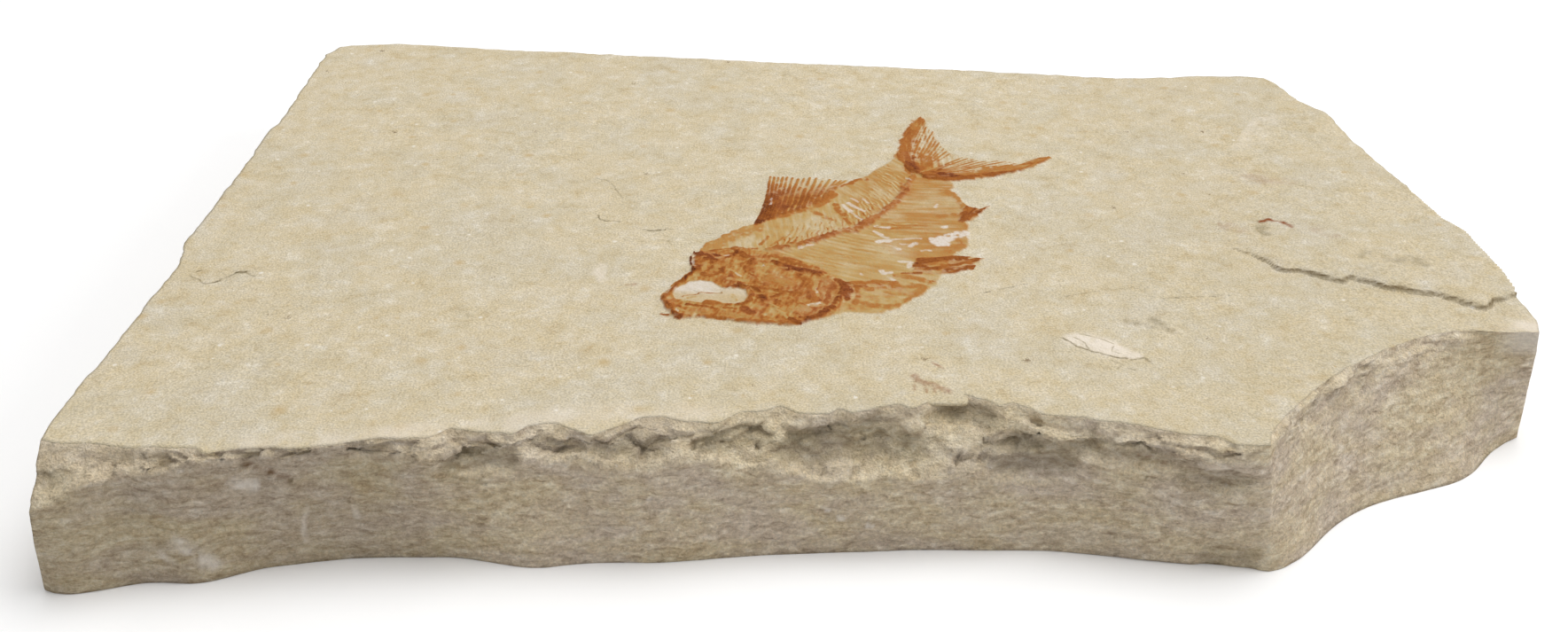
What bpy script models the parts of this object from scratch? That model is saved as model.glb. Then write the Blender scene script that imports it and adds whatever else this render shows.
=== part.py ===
"""Fossil fish slab: a broken plate of pale, thinly bedded limestone with one small fish in its top face.

The slab lies on its flat underside. Its near side is a steep break with a chipped-off upper edge, its
near right corner is a hollow bite, and one thin bed is left standing proud at the right. The fish is a
thin plate of bone that sits in a shallow pocket in the top face and stands slightly above it.

The origin is in the middle of the slab's box, on the underside. X runs along the slab, Y away from the
broken near side, Z up. Lengths are in millimetres until metres() turns them into metres.
"""
import math

import bmesh
import bpy
import numpy as np
from mathutils import Vector

MM = 0.001

# --- driving dimensions, millimetres -------------------------------------------------------------
SLAB_THICKNESS = 18.0        # underside to the bedding plane that carries the fish
LAST_BED = 0.9               # the thin bed still standing at the right, above that plane
RIM = 0.1                    # upright rim between the broken side and the bedding plane
WAIST_HEIGHT = 7.5           # height of the ring half-way up the broken sides
BROW_HEIGHT = 15.0           # height at which the plain sides start to round over
WAIST_SWELL = 0.4            # how far the plain sides swell between foot and top
COLUMNS = {"near": 58, "bite": 22, "right": 22, "far": 24, "left": 32}

BONE_FLOOR = 0.6             # underside of the bone, below the bedding plane
BONE_PROUD = 0.3             # body and fins, above the bedding plane
SKULL_PROUD = 0.8            # head bones, above the bedding plane
SPINE_PROUD = 0.6            # back of the vertebral column, above the bedding plane
SPINE_RADIUS = 0.8
SPINE_SIDES = 10
GAP = 0.3                    # clearance between bone and stone

CUT_MARGIN = 12.0            # how far the cutters reach past what they cut
BOX_HIGH = np.array([102.0, 75.75])                 # half the slab's length and depth
BOX_LOW = -BOX_HIGH

# --- outlines seen from above, millimetres, each side in anticlockwise order ----------------------
# The near side has three lines: the foot on the underside, the brow where the steep break turns into
# the chipped edge (x, y, z), and the ragged line where that chipping meets the bedding plane.
NEAR_FOOT = [(-102.0, -74.6), (-99.4, -75.75), (-94.6, -74.6), (-89.6, -73.0), (-82.0, -73.6),
             (-75.6, -70.3), (-63.7, -68.3), (-50.3, -68.1), (-40.2, -70.6), (-32.5, -69.2),
             (-23.1, -69.3), (-12.9, -68.0), (10.5, -66.7), (29.3, -66.9), (43.2, -69.2),
             (55.8, -71.0)]
NEAR_BROW = [(-101.6, -75.0, 13.0), (-96.2, -73.5, 14.6), (-91.9, -71.6, 16.0), (-79.6, -70.2, 17.2),
             (-58.0, -67.9, 17.2), (-54.3, -68.7, 16.0), (-49.5, -67.8, 15.0), (-36.1, -67.0, 15.7),
             (-27.7, -67.6, 14.2), (-15.7, -66.5, 14.6), (-9.5, -66.2, 13.0), (0.2, -66.4, 12.0),
             (12.6, -65.7, 10.9), (18.2, -65.2, 11.6), (24.5, -64.6, 14.6), (38.1, -66.8, 15.6),
             (54.3, -69.6, 16.4)]
NEAR_TOP = [(-101.2, -67.0), (-95.2, -67.9), (-80.5, -69.2), (-68.0, -68.6), (-59.5, -66.8),
            (-52.6, -66.9), (-50.0, -64.5), (-42.0, -65.8), (-40.4, -63.8), (-37.0, -63.4),
            (-31.8, -66.2), (-27.2, -62.7), (-23.3, -61.8), (-15.8, -63.0), (-12.9, -60.8),
            (-8.2, -59.4), (-5.7, -60.8), (1.3, -61.2), (7.5, -58.8), (16.0, -56.8), (20.8, -59.6),
            (33.8, -62.7), (49.8, -68.3), (53.8, -68.1)]
BITE_FOOT = [(55.8, -71.0), (59.3, -70.1), (62.1, -67.2), (66.5, -62.3), (71.3, -58.6), (76.5, -56.0),
             (84.0, -53.5), (89.6, -51.5), (94.0, -46.6), (96.7, -43.7), (101.0, -41.1)]
BITE_TOP = [(53.8, -68.1), (54.7, -65.2), (59.0, -60.1), (66.8, -51.7), (73.1, -47.5), (78.4, -43.9),
            (83.8, -41.6), (88.0, -40.4), (95.4, -40.4), (99.9, -40.9)]
RIGHT_FOOT = [(101.0, -41.1), (101.6, -33.0), (101.2, -20.0), (100.6, -8.0), (98.6, 8.0),
              (96.6, 25.0), (94.4, 40.0), (91.6, 48.0), (88.6, 56.8)]
RIGHT_TOP = [(99.9, -40.9), (101.1, -37.4), (100.6, -31.0), (102.0, -23.5), (101.7, -10.4),
             (99.9, -5.7), (98.2, 8.3), (95.5, 24.9), (95.1, 38.8), (91.2, 44.5), (89.8, 53.1),
             (88.1, 56.4)]
FAR_FOOT = [(88.6, 56.8), (70.0, 58.0), (50.0, 59.0), (25.0, 62.2), (-10.0, 65.6), (-45.0, 70.4),
            (-72.0, 73.4), (-89.4, 75.4)]
FAR_TOP = [(88.1, 56.4), (83.9, 57.4), (75.1, 57.4), (66.0, 56.4), (57.2, 56.4), (29.4, 60.7),
           (-4.6, 64.2), (-52.4, 70.8), (-67.4, 72.4), (-88.5, 75.75)]
LEFT_FOOT = [(-89.4, 75.4), (-99.2, 74.2), (-101.6, 68.0), (-101.4, 40.0), (-102.0, 20.0),
             (-101.2, 0.0), (-101.6, -20.0), (-101.2, -45.0), (-102.0, -60.0), (-102.0, -74.6)]
LEFT_TOP = [(-88.5, 75.75), (-98.5, 75.0), (-100.5, 73.9), (-102.0, 69.8), (-102.0, 63.7),
            (-101.1, 35.0), (-102.0, 29.7), (-101.4, 13.6), (-101.8, -13.7), (-100.3, -21.8),
            (-100.9, -40.4), (-101.7, -62.0), (-101.2, -67.0)]

# The bed still standing at the right: its broken front ledge, then the line along which it thins out.
BED_LEDGE = [(62.1, -15.4), (66.0, -18.9), (68.7, -22.9), (76.4, -26.7), (77.8, -25.4), (84.3, -28.9),
             (89.6, -30.4), (93.4, -34.1), (97.3, -32.5), (100.6, -31.0)]
BED_BACK = [(80.0, 36.0), (70.0, 18.0), (64.0, 0.0)]
BED_SLOPE_X, BED_SLOPE_Y = 0.0021, -0.0124          # rise of its top face per millimetre
BED_HIGH_POINT = (93.4, -34.1)

# The fish, from the snout over the back, the dorsal fin and the tail, then back along the belly.
FISH_BACK = [(-25.3, -32.0), (-25.2, -30.8), (-24.3, -28.0), (-21.8, -23.6), (-21.4, -21.0),
             (-21.5, -18.6), (-20.6, -16.6), (-20.0, -14.0), (-17.2, -11.4), (-14.0, -8.0),
             (-12.0, -7.2)]
DORSAL_FIN = [(-11.0, -3.6), (-10.4, 0.0), (-9.9, 4.0), (-9.5, 10.2), (-6.9, 10.2), (-5.0, 9.4),
              (-3.2, 10.0), (0.6, 9.0), (4.0, 8.3)]
TAIL_STALK_BACK = [(5.0, 9.6), (8.2, 13.0), (12.4, 18.2)]
TAIL_FIN = [(13.6, 25.2), (16.6, 34.4), (18.4, 37.4), (19.0, 33.0), (20.0, 26.0), (21.6, 20.6),
            (26.4, 16.8), (34.0, 16.2), (38.5, 18.4), (40.4, 18.9), (39.2, 17.0), (36.4, 14.2),
            (28.0, 10.1), (22.0, 8.4)]
FISH_REAR = [(20.8, 4.4), (22.6, 1.0), (23.2, -0.4), (26.3, -1.8), (22.8, -6.6), (22.2, -12.4),
             (20.6, -15.8), (19.4, -17.8)]
PELVIC_FIN = [(23.6, -18.9), (20.0, -22.6), (16.9, -24.2)]
FISH_BELLY = [(16.4, -26.2), (13.8, -29.8), (9.6, -34.2), (5.6, -35.8), (1.6, -35.8), (-3.2, -37.8),
              (-6.0, -39.3), (-12.6, -38.5), (-19.0, -37.1), (-22.4, -36.9), (-24.0, -36.2),
              (-24.2, -34.2)]
FISH_OUTLINE = (FISH_BACK + DORSAL_FIN + TAIL_STALK_BACK + TAIL_FIN + FISH_REAR + PELVIC_FIN
                + FISH_BELLY)
SKULL_OUTLINE = [(-24.4, -31.8), (-23.4, -27.8), (-20.6, -23.0), (-20.6, -18.8), (-19.4, -17.0),
                 (-10.2, -16.8), (-4.0, -20.8), (0.4, -25.4), (3.4, -28.0), (2.8, -33.0),
                 (0.2, -35.4), (-5.6, -38.2), (-12.6, -37.5), (-21.8, -36.0), (-23.4, -34.0)]
SPINE_LINE = [(-12.0, -17.4), (-7.0, -15.2), (-4.2, -14.2), (-1.6, -12.6), (1.0, -10.8), (4.4, -9.2),
              (6.4, -6.8), (8.6, -4.2), (10.4, -1.6), (12.4, 3.0), (13.3, 6.0), (15.2, 10.6)]


def metres(points):
    """Millimetre points as a list of vectors in metres."""
    return [Vector(point) * MM for point in points]


def along(points, count):
    """count points on a broken line, evenly spaced along its chord, without its far end."""
    line = np.asarray(points, dtype=float)
    chord = line[-1, :2] - line[0, :2]
    progress = (line[:, :2] - line[0, :2]) @ chord / (chord @ chord)
    steps = np.arange(count) / count
    return np.stack([np.interp(steps, progress, line[:, k]) for k in range(line.shape[1])], axis=1)


def at_height(flat, height):
    """Flat points lifted to one height, or to one height each."""
    return np.column_stack([flat[:, :2], np.broadcast_to(height, len(flat))])


def between(low, high, height):
    """The points at the given heights on the straight lines from the low ring to the high one."""
    share = (height - low[:, 2]) / (high[:, 2] - low[:, 2])
    return low + (high - low) * share[:, None]


def side_rings(foot, top, count, brow):
    """One side's rings from the underside up: foot, waist, brow and top, each with count points.

    brow is either the side's own brow line or the pair of heights that it runs between.
    """
    low = at_height(along(foot, count), 0.0)
    high = at_height(along(top, count), SLAB_THICKNESS)
    own_line = len(brow) > 2
    edge = along(brow, count) if own_line else between(low, high, np.linspace(*brow, count, False))
    waist = between(low, edge, np.full(count, WAIST_HEIGHT))
    if not own_line:
        swell = WAIST_SWELL * np.sin(np.pi * np.arange(count) / count)
        chord = np.subtract(foot[-1], foot[0])
        outward = np.array([chord[1], -chord[0]]) / np.hypot(*chord)
        waist[:, :2] = np.clip(waist[:, :2] + outward * swell[:, None], BOX_LOW, BOX_HIGH)
    return low, waist, edge, high


def slab_rings():
    """The slab's closed rings from the underside up, the sides joined end to end and centred."""
    brow_at_bite, brow_at_left = NEAR_BROW[-1][2], NEAR_BROW[0][2]
    sides = [
        side_rings(NEAR_FOOT, NEAR_TOP, COLUMNS["near"], NEAR_BROW),
        side_rings(BITE_FOOT, BITE_TOP, COLUMNS["bite"], (brow_at_bite, BROW_HEIGHT)),
        side_rings(RIGHT_FOOT, RIGHT_TOP, COLUMNS["right"], (BROW_HEIGHT, BROW_HEIGHT)),
        side_rings(FAR_FOOT, FAR_TOP, COLUMNS["far"], (BROW_HEIGHT, BROW_HEIGHT)),
        side_rings(LEFT_FOOT, LEFT_TOP, COLUMNS["left"], (BROW_HEIGHT, brow_at_left)),
    ]
    levels = [np.concatenate(level) for level in zip(*sides)]
    corners = np.concatenate(levels)
    middle = (corners.min(axis=0) + corners.max(axis=0)) / 2
    foot, waist, brow, top = [level - middle * (1.0, 1.0, 0.0) for level in levels]
    rim, crown = at_height(top, SLAB_THICKNESS - RIM), at_height(top, SLAB_THICKNESS + LAST_BED + RIM)
    return [foot, waist, brow, rim, crown]


def solid_from_rings(name, rings):
    """A closed solid skinned over rings of equal length, with flat caps on the first and last."""
    bm = bmesh.new()
    loops = [[bm.verts.new(point) for point in metres(ring)] for ring in rings]
    for lower, upper in zip(loops, loops[1:]):
        for i, vert in enumerate(lower):
            after = (i + 1) % len(lower)
            bm.faces.new((vert, lower[after], upper[after], upper[i]))
    bm.faces.new(reversed(loops[0]))
    bm.faces.new(loops[-1])
    bmesh.ops.recalc_face_normals(bm, faces=bm.faces)
    mesh = bpy.data.meshes.new(name)
    bm.to_mesh(mesh)
    bm.free()
    piece = bpy.data.objects.new(name, mesh)
    bpy.context.collection.objects.link(piece)
    return piece


def prism(name, outline, low, high):
    """An upright prism over a closed outline, between two heights in millimetres."""
    flat = np.asarray(outline, dtype=float)
    return solid_from_rings(name, [at_height(flat, low), at_height(flat, high)])


def grown(outline, distance):
    """A closed outline moved outwards by a distance, its corners mitred but never past twice it."""
    points = np.asarray(outline, dtype=float)
    area = np.sum(np.cross(points, np.roll(points, -1, axis=0)))
    edge = np.roll(points, -1, axis=0) - points
    normal = np.column_stack([edge[:, 1], -edge[:, 0]]) * math.copysign(1.0, area)
    normal /= np.linalg.norm(normal, axis=1)[:, None]
    corner = normal + np.roll(normal, 1, axis=0)
    corner /= np.linalg.norm(corner, axis=1)[:, None]
    miter = 1.0 / np.clip(np.sum(corner * normal, axis=1), 0.5, 1.0)
    return points + corner * (distance * miter)[:, None]


def as_cutter(piece):
    """Marks a helper solid, which shapes its neighbour and is no part of the object."""
    piece.hide_render = True
    piece.display_type = "WIRE"
    return piece


def combine(piece, other, operation):
    """Adds an exact Boolean of another solid to a piece."""
    boolean = piece.modifiers.new(f"{operation.lower()} {other.name}", "BOOLEAN")
    boolean.object = as_cutter(other)
    boolean.operation = operation
    boolean.solver = "EXACT"


def stone_finish():
    """Pale cream limestone, dull and slightly rough."""
    return principled("limestone", (0.63, 0.56, 0.42, 1.0), roughness=0.9)


def bone_finish():
    """Fossil bone, orange brown with a faint sheen."""
    return principled("fossil_bone", (0.42, 0.19, 0.06, 1.0), roughness=0.6)


def principled(name, colour, roughness):
    """A plain Principled material."""
    material = bpy.data.materials.new(name)
    material.use_nodes = True
    shader = material.node_tree.nodes["Principled BSDF"]
    shader.inputs["Base Color"].default_value = colour
    shader.inputs["Roughness"].default_value = roughness
    shader.inputs["Metallic"].default_value = 0.0
    return material


def lost_beds():
    """The beds that have split away: everything above the bedding plane except the last bed."""
    reach = np.array([[-1, -1], [1, -1], [1, 1], [-1, 1]]) * (BOX_HIGH + CUT_MARGIN)
    out_right = BOX_HIGH[0] + CUT_MARGIN
    ledge_end = (out_right, BED_LEDGE[-1][1])
    back_start = (out_right, BED_BACK[0][1] + CUT_MARGIN)
    outline = [*reach[:2], ledge_end, *reversed(BED_LEDGE), *reversed(BED_BACK), back_start, *reach[2:]]
    return prism("lost_beds", outline, SLAB_THICKNESS, SLAB_THICKNESS + CUT_MARGIN)


def bed_top():
    """The space above the last bed, whose top face falls away gently to the back and the left."""
    corners = np.array([[-1, -1], [1, -1], [1, 1], [-1, 1]]) * (BOX_HIGH + CUT_MARGIN)
    rise = (corners - BED_HIGH_POINT) @ np.array([BED_SLOPE_X, BED_SLOPE_Y])
    face = SLAB_THICKNESS + LAST_BED + rise
    return solid_from_rings("bed_top", [at_height(corners, face), at_height(corners, face + CUT_MARGIN)])


def fish_pocket():
    """The shallow pocket in the bedding plane that holds the bone with clearance all round."""
    floor = SLAB_THICKNESS - BONE_FLOOR - GAP
    return prism("fish_pocket", grown(FISH_OUTLINE, GAP), floor, SLAB_THICKNESS + CUT_MARGIN)


def limestone_slab():
    """The broken slab with its lost beds and the pocket cut away."""
    slab = solid_from_rings("limestone_slab", slab_rings())
    slab.data.materials.append(stone_finish())
    for cutter in (lost_beds(), bed_top(), fish_pocket()):
        combine(slab, cutter, "DIFFERENCE")


def spine_bar():
    """The vertebral column: a round-backed, flat-bottomed bar of which only the back stands proud."""
    line = np.asarray(SPINE_LINE, dtype=float)
    heading = np.gradient(line, axis=0)
    heading /= np.linalg.norm(heading, axis=1)[:, None]
    across = np.column_stack([-heading[:, 1], heading[:, 0]])
    centre = SLAB_THICKNESS + SPINE_PROUD - SPINE_RADIUS
    floor = SLAB_THICKNESS - BONE_FLOOR + GAP / 2
    rings = []
    for point, side in zip(line, across):
        turn = np.arange(SPINE_SIDES) * 2 * np.pi / SPINE_SIDES
        flat = point + side * (np.cos(turn) * SPINE_RADIUS)[:, None]
        rings.append(at_height(flat, np.maximum(centre + np.sin(turn) * SPINE_RADIUS, floor)))
    return solid_from_rings("spine_bar", rings)


def fish_fossil():
    """The fish: body and fins as one thin plate, with the skull and the vertebral column raised."""
    floor = SLAB_THICKNESS - BONE_FLOOR
    fish = prism("fish_fossil", FISH_OUTLINE, floor, SLAB_THICKNESS + BONE_PROUD)
    fish.data.materials.append(bone_finish())
    skull_floor = floor + GAP / 2
    combine(fish, prism("skull_plate", SKULL_OUTLINE, skull_floor, SLAB_THICKNESS + SKULL_PROUD), "UNION")
    combine(fish, spine_bar(), "UNION")


def main():
    """Clears the scene and builds the two pieces."""
    for leftover in list(bpy.data.objects):
        bpy.data.objects.remove(leftover)
    limestone_slab()
    fish_fossil()


main()
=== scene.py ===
"""Fossil fish slab: the finished look of a broken limestone plate with a small fish in its top face.

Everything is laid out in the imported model's frame: X along the slab, Y away from the broken near side,
Z up, the origin in the middle of the underside. Lengths in this file are millimetres; new_piece() turns
them into metres.
"""

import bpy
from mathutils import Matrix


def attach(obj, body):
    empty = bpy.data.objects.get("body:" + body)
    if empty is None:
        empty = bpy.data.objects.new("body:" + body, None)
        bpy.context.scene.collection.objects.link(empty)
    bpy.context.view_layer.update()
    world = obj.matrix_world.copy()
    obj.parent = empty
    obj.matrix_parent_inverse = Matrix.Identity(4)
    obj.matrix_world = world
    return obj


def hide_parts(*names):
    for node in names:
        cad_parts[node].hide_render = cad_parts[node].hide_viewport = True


bl_info = {
    "name": "Fossil fish slab",
    "version": (1, 0, 0),
    "blender": (4, 5, 0),
    "location": "3D View > Sidebar > Fossil",
    "description": "Builds a fossil fish slab around its packed model",
    "category": "Add Mesh",
}

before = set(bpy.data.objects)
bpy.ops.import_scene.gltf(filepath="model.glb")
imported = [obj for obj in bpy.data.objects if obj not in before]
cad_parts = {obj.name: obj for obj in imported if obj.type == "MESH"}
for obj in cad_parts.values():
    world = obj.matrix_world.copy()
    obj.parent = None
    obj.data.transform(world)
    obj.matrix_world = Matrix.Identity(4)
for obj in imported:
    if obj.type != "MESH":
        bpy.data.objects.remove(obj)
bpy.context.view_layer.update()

import math

import bpy
import numpy as np
from bpy.props import FloatProperty, FloatVectorProperty, IntProperty, PointerProperty
from mathutils import Vector

MM = 0.001
SLAB, FISH = "limestone_slab", "fish_fossil"

# --- the slab's own lines, millimetres --------------------------------------------------------------
BEDDING_PLANE = 18.0                  # top face of the slab, which carries the fish
FOOT_RING, WAIST_RING = 0.0, 7.5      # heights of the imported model's lower outlines
BROW_RING = (10.5, 17.6)              # heights between which its upper outline wanders
OUTLINE_RADIUS = 52.0                 # every point of those outlines is further out than this
RING_SLACK = 0.05                     # how far from its height a point of a level outline may lie
CORNERS = [(-102.0, -74.6), (55.8, -71.0), (101.0, -41.1), (88.6, 56.8), (-89.4, 75.4)]

# How the two shells are closed inside the stone: distance in from their edge, then height.
UNDERSIDE_LIP, BROW_LIP, TOP_SKIRT = (0.4, 0.0), (1.2, 16.6), (0.6, 17.1)

# The edge of the top face, anticlockwise from the near left corner: the ragged line of the chipped near
# edge, the bite, the right, far and left edges.
CHIP_LINE = [(-101.2, -67.0), (-99.1, -67.8), (-95.1, -67.9), (-89.5, -68.6), (-81.0, -68.8),
             (-79.8, -70.0), (-75.6, -68.8), (-68.0, -68.6), (-63.0, -67.7), (-59.5, -66.7),
             (-52.6, -66.9), (-50.1, -64.4), (-43.6, -65.6), (-42.0, -65.9), (-40.4, -63.8),
             (-37.0, -63.4), (-31.8, -66.2), (-27.2, -62.7), (-26.0, -61.9), (-23.3, -61.7),
             (-20.0, -63.0), (-15.8, -63.0), (-12.9, -60.8), (-10.7, -60.6), (-8.2, -59.4),
             (-5.7, -60.8), (-1.8, -61.2), (-0.2, -60.0), (1.4, -61.2), (7.5, -58.8), (9.2, -60.0),
             (13.5, -57.4), (16.0, -56.7), (19.4, -58.4), (20.8, -59.6), (22.7, -58.8), (26.1, -61.2),
             (33.8, -62.7), (39.5, -64.2), (43.8, -65.8), (47.6, -66.4), (49.8, -68.3), (53.8, -68.1)]
BITE_LINE = [(53.8, -68.1), (54.7, -65.2), (59.0, -60.1), (66.8, -51.7), (73.1, -47.5), (78.4, -43.9),
             (83.8, -41.6), (88.0, -40.4), (95.4, -40.4), (99.9, -40.9)]
RIGHT_LINE = [(99.9, -40.9), (101.1, -37.4), (100.6, -31.0), (102.0, -23.5), (101.7, -10.4),
              (99.9, -5.7), (98.2, 8.3), (95.5, 24.9), (95.1, 38.8), (91.2, 44.5), (89.8, 53.1),
              (88.1, 56.4)]
FAR_LINE = [(88.1, 56.4), (83.9, 57.4), (75.1, 57.4), (66.0, 56.4), (57.2, 56.4), (29.4, 60.7),
            (-4.6, 64.2), (-52.4, 70.8), (-67.4, 72.4), (-88.5, 75.75)]
LEFT_LINE = [(-88.5, 75.75), (-98.5, 75.0), (-100.5, 73.9), (-102.0, 69.8), (-102.0, 63.7),
             (-101.1, 35.0), (-102.0, 29.7), (-101.4, 13.6), (-101.8, -13.7), (-100.3, -21.8),
             (-100.9, -40.4), (-101.7, -62.0), (-101.2, -67.0)]

# Hollows left by chips in the near side: centre in X and Z, half width and half height, then depth.
CHIPS = [((1.5, 14.1), (12.0, 2.8), 2.8), ((-14.0, 15.4), (6.0, 1.7), 1.8), ((4.5, 16.8), (2.8, 0.8), 0.9),
         ((16.2, 16.2), (5.6, 1.2), 1.4), ((24.4, 13.0), (7.2, 3.2), 2.2), ((37.0, 15.0), (10.0, 1.6), 1.8),
         ((47.5, 13.0), (6.0, 1.8), 1.7), ((50.2, 1.8), (4.6, 2.8), 0.9), ((-27.0, 15.7), (5.2, 1.7), 1.8),
         ((-46.0, 15.0), (5.4, 1.9), 1.7), ((-36.5, 16.2), (4.2, 1.3), 1.3), ((-99.4, 15.3), (4.6, 0.8), 0.9)]

# The near side's chipping sets in between two values of Y and ends between two of X, where the bite begins.
CHIPPED_FROM_Y, CHIPPED_TO_X = (-46.0, -50.0), (53.0, 57.0)
# The lowest fresh break along the near side: X, and the height that it starts from there.
LOWEST_FRESH = [-102.0, -80.0, -72.0], [12.2, 14.6, 10.0]

# Where the top face is rubbed chalky: its near right corner and a stretch of its near edge.
EVEN_DUST = 0.045                     # smudge that lies evenly over its right end
RUBBED_CORNER = (99.9, -39.9)
RUBBED_EDGE = [(-74.0, -67.5), (-60.0, -66.0), (-46.0, -64.0), (-37.0, -61.5), (-27.0, -60.5),
               (-18.0, -60.8)]

# Marks on the near side: field, strength, half width, then the line in X and Z.
WALL_MARKS = [
    ("smudge_and_shade", 0.85, (0.2, 0.35, 0.4, 0.3), [(-78.5, 16.6), (-75.5, 16.0), (-72.4, 14.9), (-69.0, 13.4)]),
    ("rust_and_shade", 0.35, 0.6, [(-75.0, 16.0), (-70.0, 14.0)]),
    ("chalk_and_highlight", 0.8, 1.1, [(-76.5, 13.6), (-74.2, 13.2)]),
    ("chalk_and_highlight", 0.65, 1.7, [(-84.6, 6.4), (-82.4, 4.6), (-80.8, 2.4)]),
    ("chalk_and_highlight", 0.5, 0.6, [(-87.0, 4.6), (-85.4, 3.2)]),
    ("chalk_and_highlight", 0.5, 0.35, [(-68.6, 9.3), (-69.0, 7.2), (-69.5, 3.7)]),
    ("chalk_and_highlight", 0.4, 0.6, [(-65.9, 8.2), (-65.6, 7.0)]),
    ("chalk_and_highlight", 0.4, 0.6, [(-62.9, 8.2), (-62.6, 6.8)]),
    ("smudge_and_shade", 0.55, 0.35, [(-50.2, 13.4), (-47.6, 13.0), (-45.2, 12.0)]),
    ("rust_and_shade", 0.5, 0.3, [(37.9, 15.0), (40.0, 14.9), (41.9, 14.3)]),
    ("chalk_and_highlight", 0.8, 0.5, [(-24.9, 9.6), (-24.3, 9.7)]),
    ("smudge_and_shade", 0.6, 0.35, [(-32.5, 5.0), (-32.0, 4.8)]),
    ("chalk_and_highlight", 0.7, 0.4, [(-2.1, 6.9), (-1.6, 6.7)]),
    ("chalk_and_highlight", 0.8, 0.5, [(-0.2, 5.5), (0.4, 5.3)]),
    ("chalk_and_highlight", 0.8, 0.5, [(3.5, 4.1), (4.2, 3.9)]),
    ("smudge_and_shade", 0.32, 1.7, [(48.5, 0.4), (51.5, 1.6), (54.2, 2.6)]),
    ("smudge_and_shade", 0.9, 0.35, [(38.9, 12.6), (39.2, 12.4)]),
    ("smudge_and_shade", 0.9, 0.3, [(35.7, 3.5), (36.0, 3.3)]),
]


# --- repeatable noise -------------------------------------------------------------------------------

def lattice_value(cells, seed):
    """A repeatable number from 0 to 1 for each integer cell, mixed from its three indices and a seed."""
    mixed = cells[..., 0] * 73856093 ^ cells[..., 1] * 19349663 ^ cells[..., 2] * 83492791
    mixed = (mixed ^ (seed * 668265263)) & 0xFFFFFFFF
    mixed = (mixed ^ (mixed >> 13)) * 1274126177 & 0xFFFFFFFF
    mixed = (mixed ^ (mixed >> 15)) * 668265263 & 0xFFFFFFFF
    return ((mixed ^ (mixed >> 16)) & 0xFFFFFF) / 0xFFFFFF


def smooth_noise(points, seed):
    """Noise from -1 to 1: the eight lattice values round each point, blended with eased weights."""
    cell = np.floor(points).astype(np.int64)
    share = points - cell
    share = share * share * (3 - 2 * share)
    total = np.zeros(points.shape[:-1])
    for corner in np.ndindex(2, 2, 2):
        weight = np.prod(np.where(corner, share, 1 - share), axis=-1)
        total += weight * lattice_value(cell + np.array(corner), seed)
    return total * 2 - 1


def rough(points, size, seed, octaves=3):
    """Layered noise from about -1 to 1 whose largest lumps have the given size in millimetres."""
    total, strength = 0.0, 1.0
    scaled = points / np.asarray(size, dtype=float)
    for octave in range(octaves):
        total = total + strength * smooth_noise(scaled * 2.0 ** octave, seed + octave)
        strength *= 0.5
    return total / 1.5


def facets(points, size, seed):
    """Broken facets from about -1 to 1: the nearest scattered centre gives each point its tilted plane."""
    scaled = points / np.asarray(size, dtype=float)
    cell = np.floor(scaled).astype(np.int64)
    nearest = np.full(points.shape[:-1], np.inf)
    height = np.zeros(points.shape[:-1])
    for step in np.ndindex(3, 3, 3):
        home = cell + np.array(step) - 1
        centre = home + np.stack([lattice_value(home, seed + k) for k in range(3)], axis=-1)
        tilt = np.stack([lattice_value(home, seed + k) for k in range(3, 6)], axis=-1) * 2 - 1
        away = scaled - centre
        distance = np.sum(away * away, axis=-1)
        plane = np.sum(away * tilt, axis=-1) + lattice_value(home, seed + 6) * 0.6 - 0.3
        height = np.where(distance < nearest, plane, height)
        nearest = np.minimum(distance, nearest)
    return height


def drift(points, size, seeds, octaves=3):
    """Layered noise that moves points about, with a layer of its own for each direction's seed."""
    return np.stack([rough(points, size, seed, octaves) for seed in seeds], axis=-1)


def on_plane(flat):
    """Flat points as points in space, at height zero."""
    return np.column_stack([flat, np.zeros(len(flat))])


def eased(value, start, end):
    """0 before start, 1 after end, with a smooth rise between them."""
    share = np.clip((value - start) / (end - start), 0.0, 1.0)
    return share * share * (3 - 2 * share)


# --- meshes -----------------------------------------------------------------------------------------

def new_piece(name, points, quads, caps, finish, fields, tucked=()):
    """A smooth-shaded piece from millimetre points, four-sided faces and single larger faces.

    finish is its material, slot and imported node. fields are named numbers, one for each point, which the
    material reads as attributes. Faces on a tucked point lie inside the stone and are shaded flat, so
    that the edge they start from stays sharp.
    """
    material, slot, node = finish
    mesh = bpy.data.meshes.new(name)
    faces = np.asarray(quads).tolist() + [list(map(int, cap)) for cap in caps]
    mesh.from_pydata((np.asarray(points) * MM).tolist(), [], faces)
    inner = set(np.asarray(tucked, dtype=int).tolist())
    mesh.polygons.foreach_set("use_smooth", [inner.isdisjoint(face) for face in faces])
    for field, values in fields.items():
        layer = mesh.attributes.new(field, "FLOAT", "POINT")
        layer.data.foreach_set("value", np.asarray(values, dtype=np.float32).ravel())
    mesh.materials.append(material)
    mesh.update()
    piece = bpy.data.objects.new(name, mesh)
    bpy.context.scene.collection.objects.link(piece)
    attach(piece, "root")
    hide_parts(node)


def grid_quads(index):
    """The four-sided faces between the neighbours of a grid of point numbers."""
    corners = index[:-1, :-1], index[1:, :-1], index[1:, 1:], index[:-1, 1:]
    return np.stack(corners, axis=-1).reshape(-1, 4)


def coons_patch(near, right, far, left):
    """The surface that blends four edge curves: straight blends both ways less the corners' own blend.

    near and far run left to right, left and right run near to far, and their ends meet.
    """
    across = np.linspace(0, 1, len(near))[:, None, None]
    away = np.linspace(0, 1, len(left))[None, :, None]
    ruled = ((1 - away) * near[:, None] + away * far[:, None]
             + (1 - across) * left[None] + across * right[None])
    corners = ((1 - across) * ((1 - away) * near[0] + away * left[-1])
               + across * ((1 - away) * near[-1] + away * right[-1]))
    return ruled - corners


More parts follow.
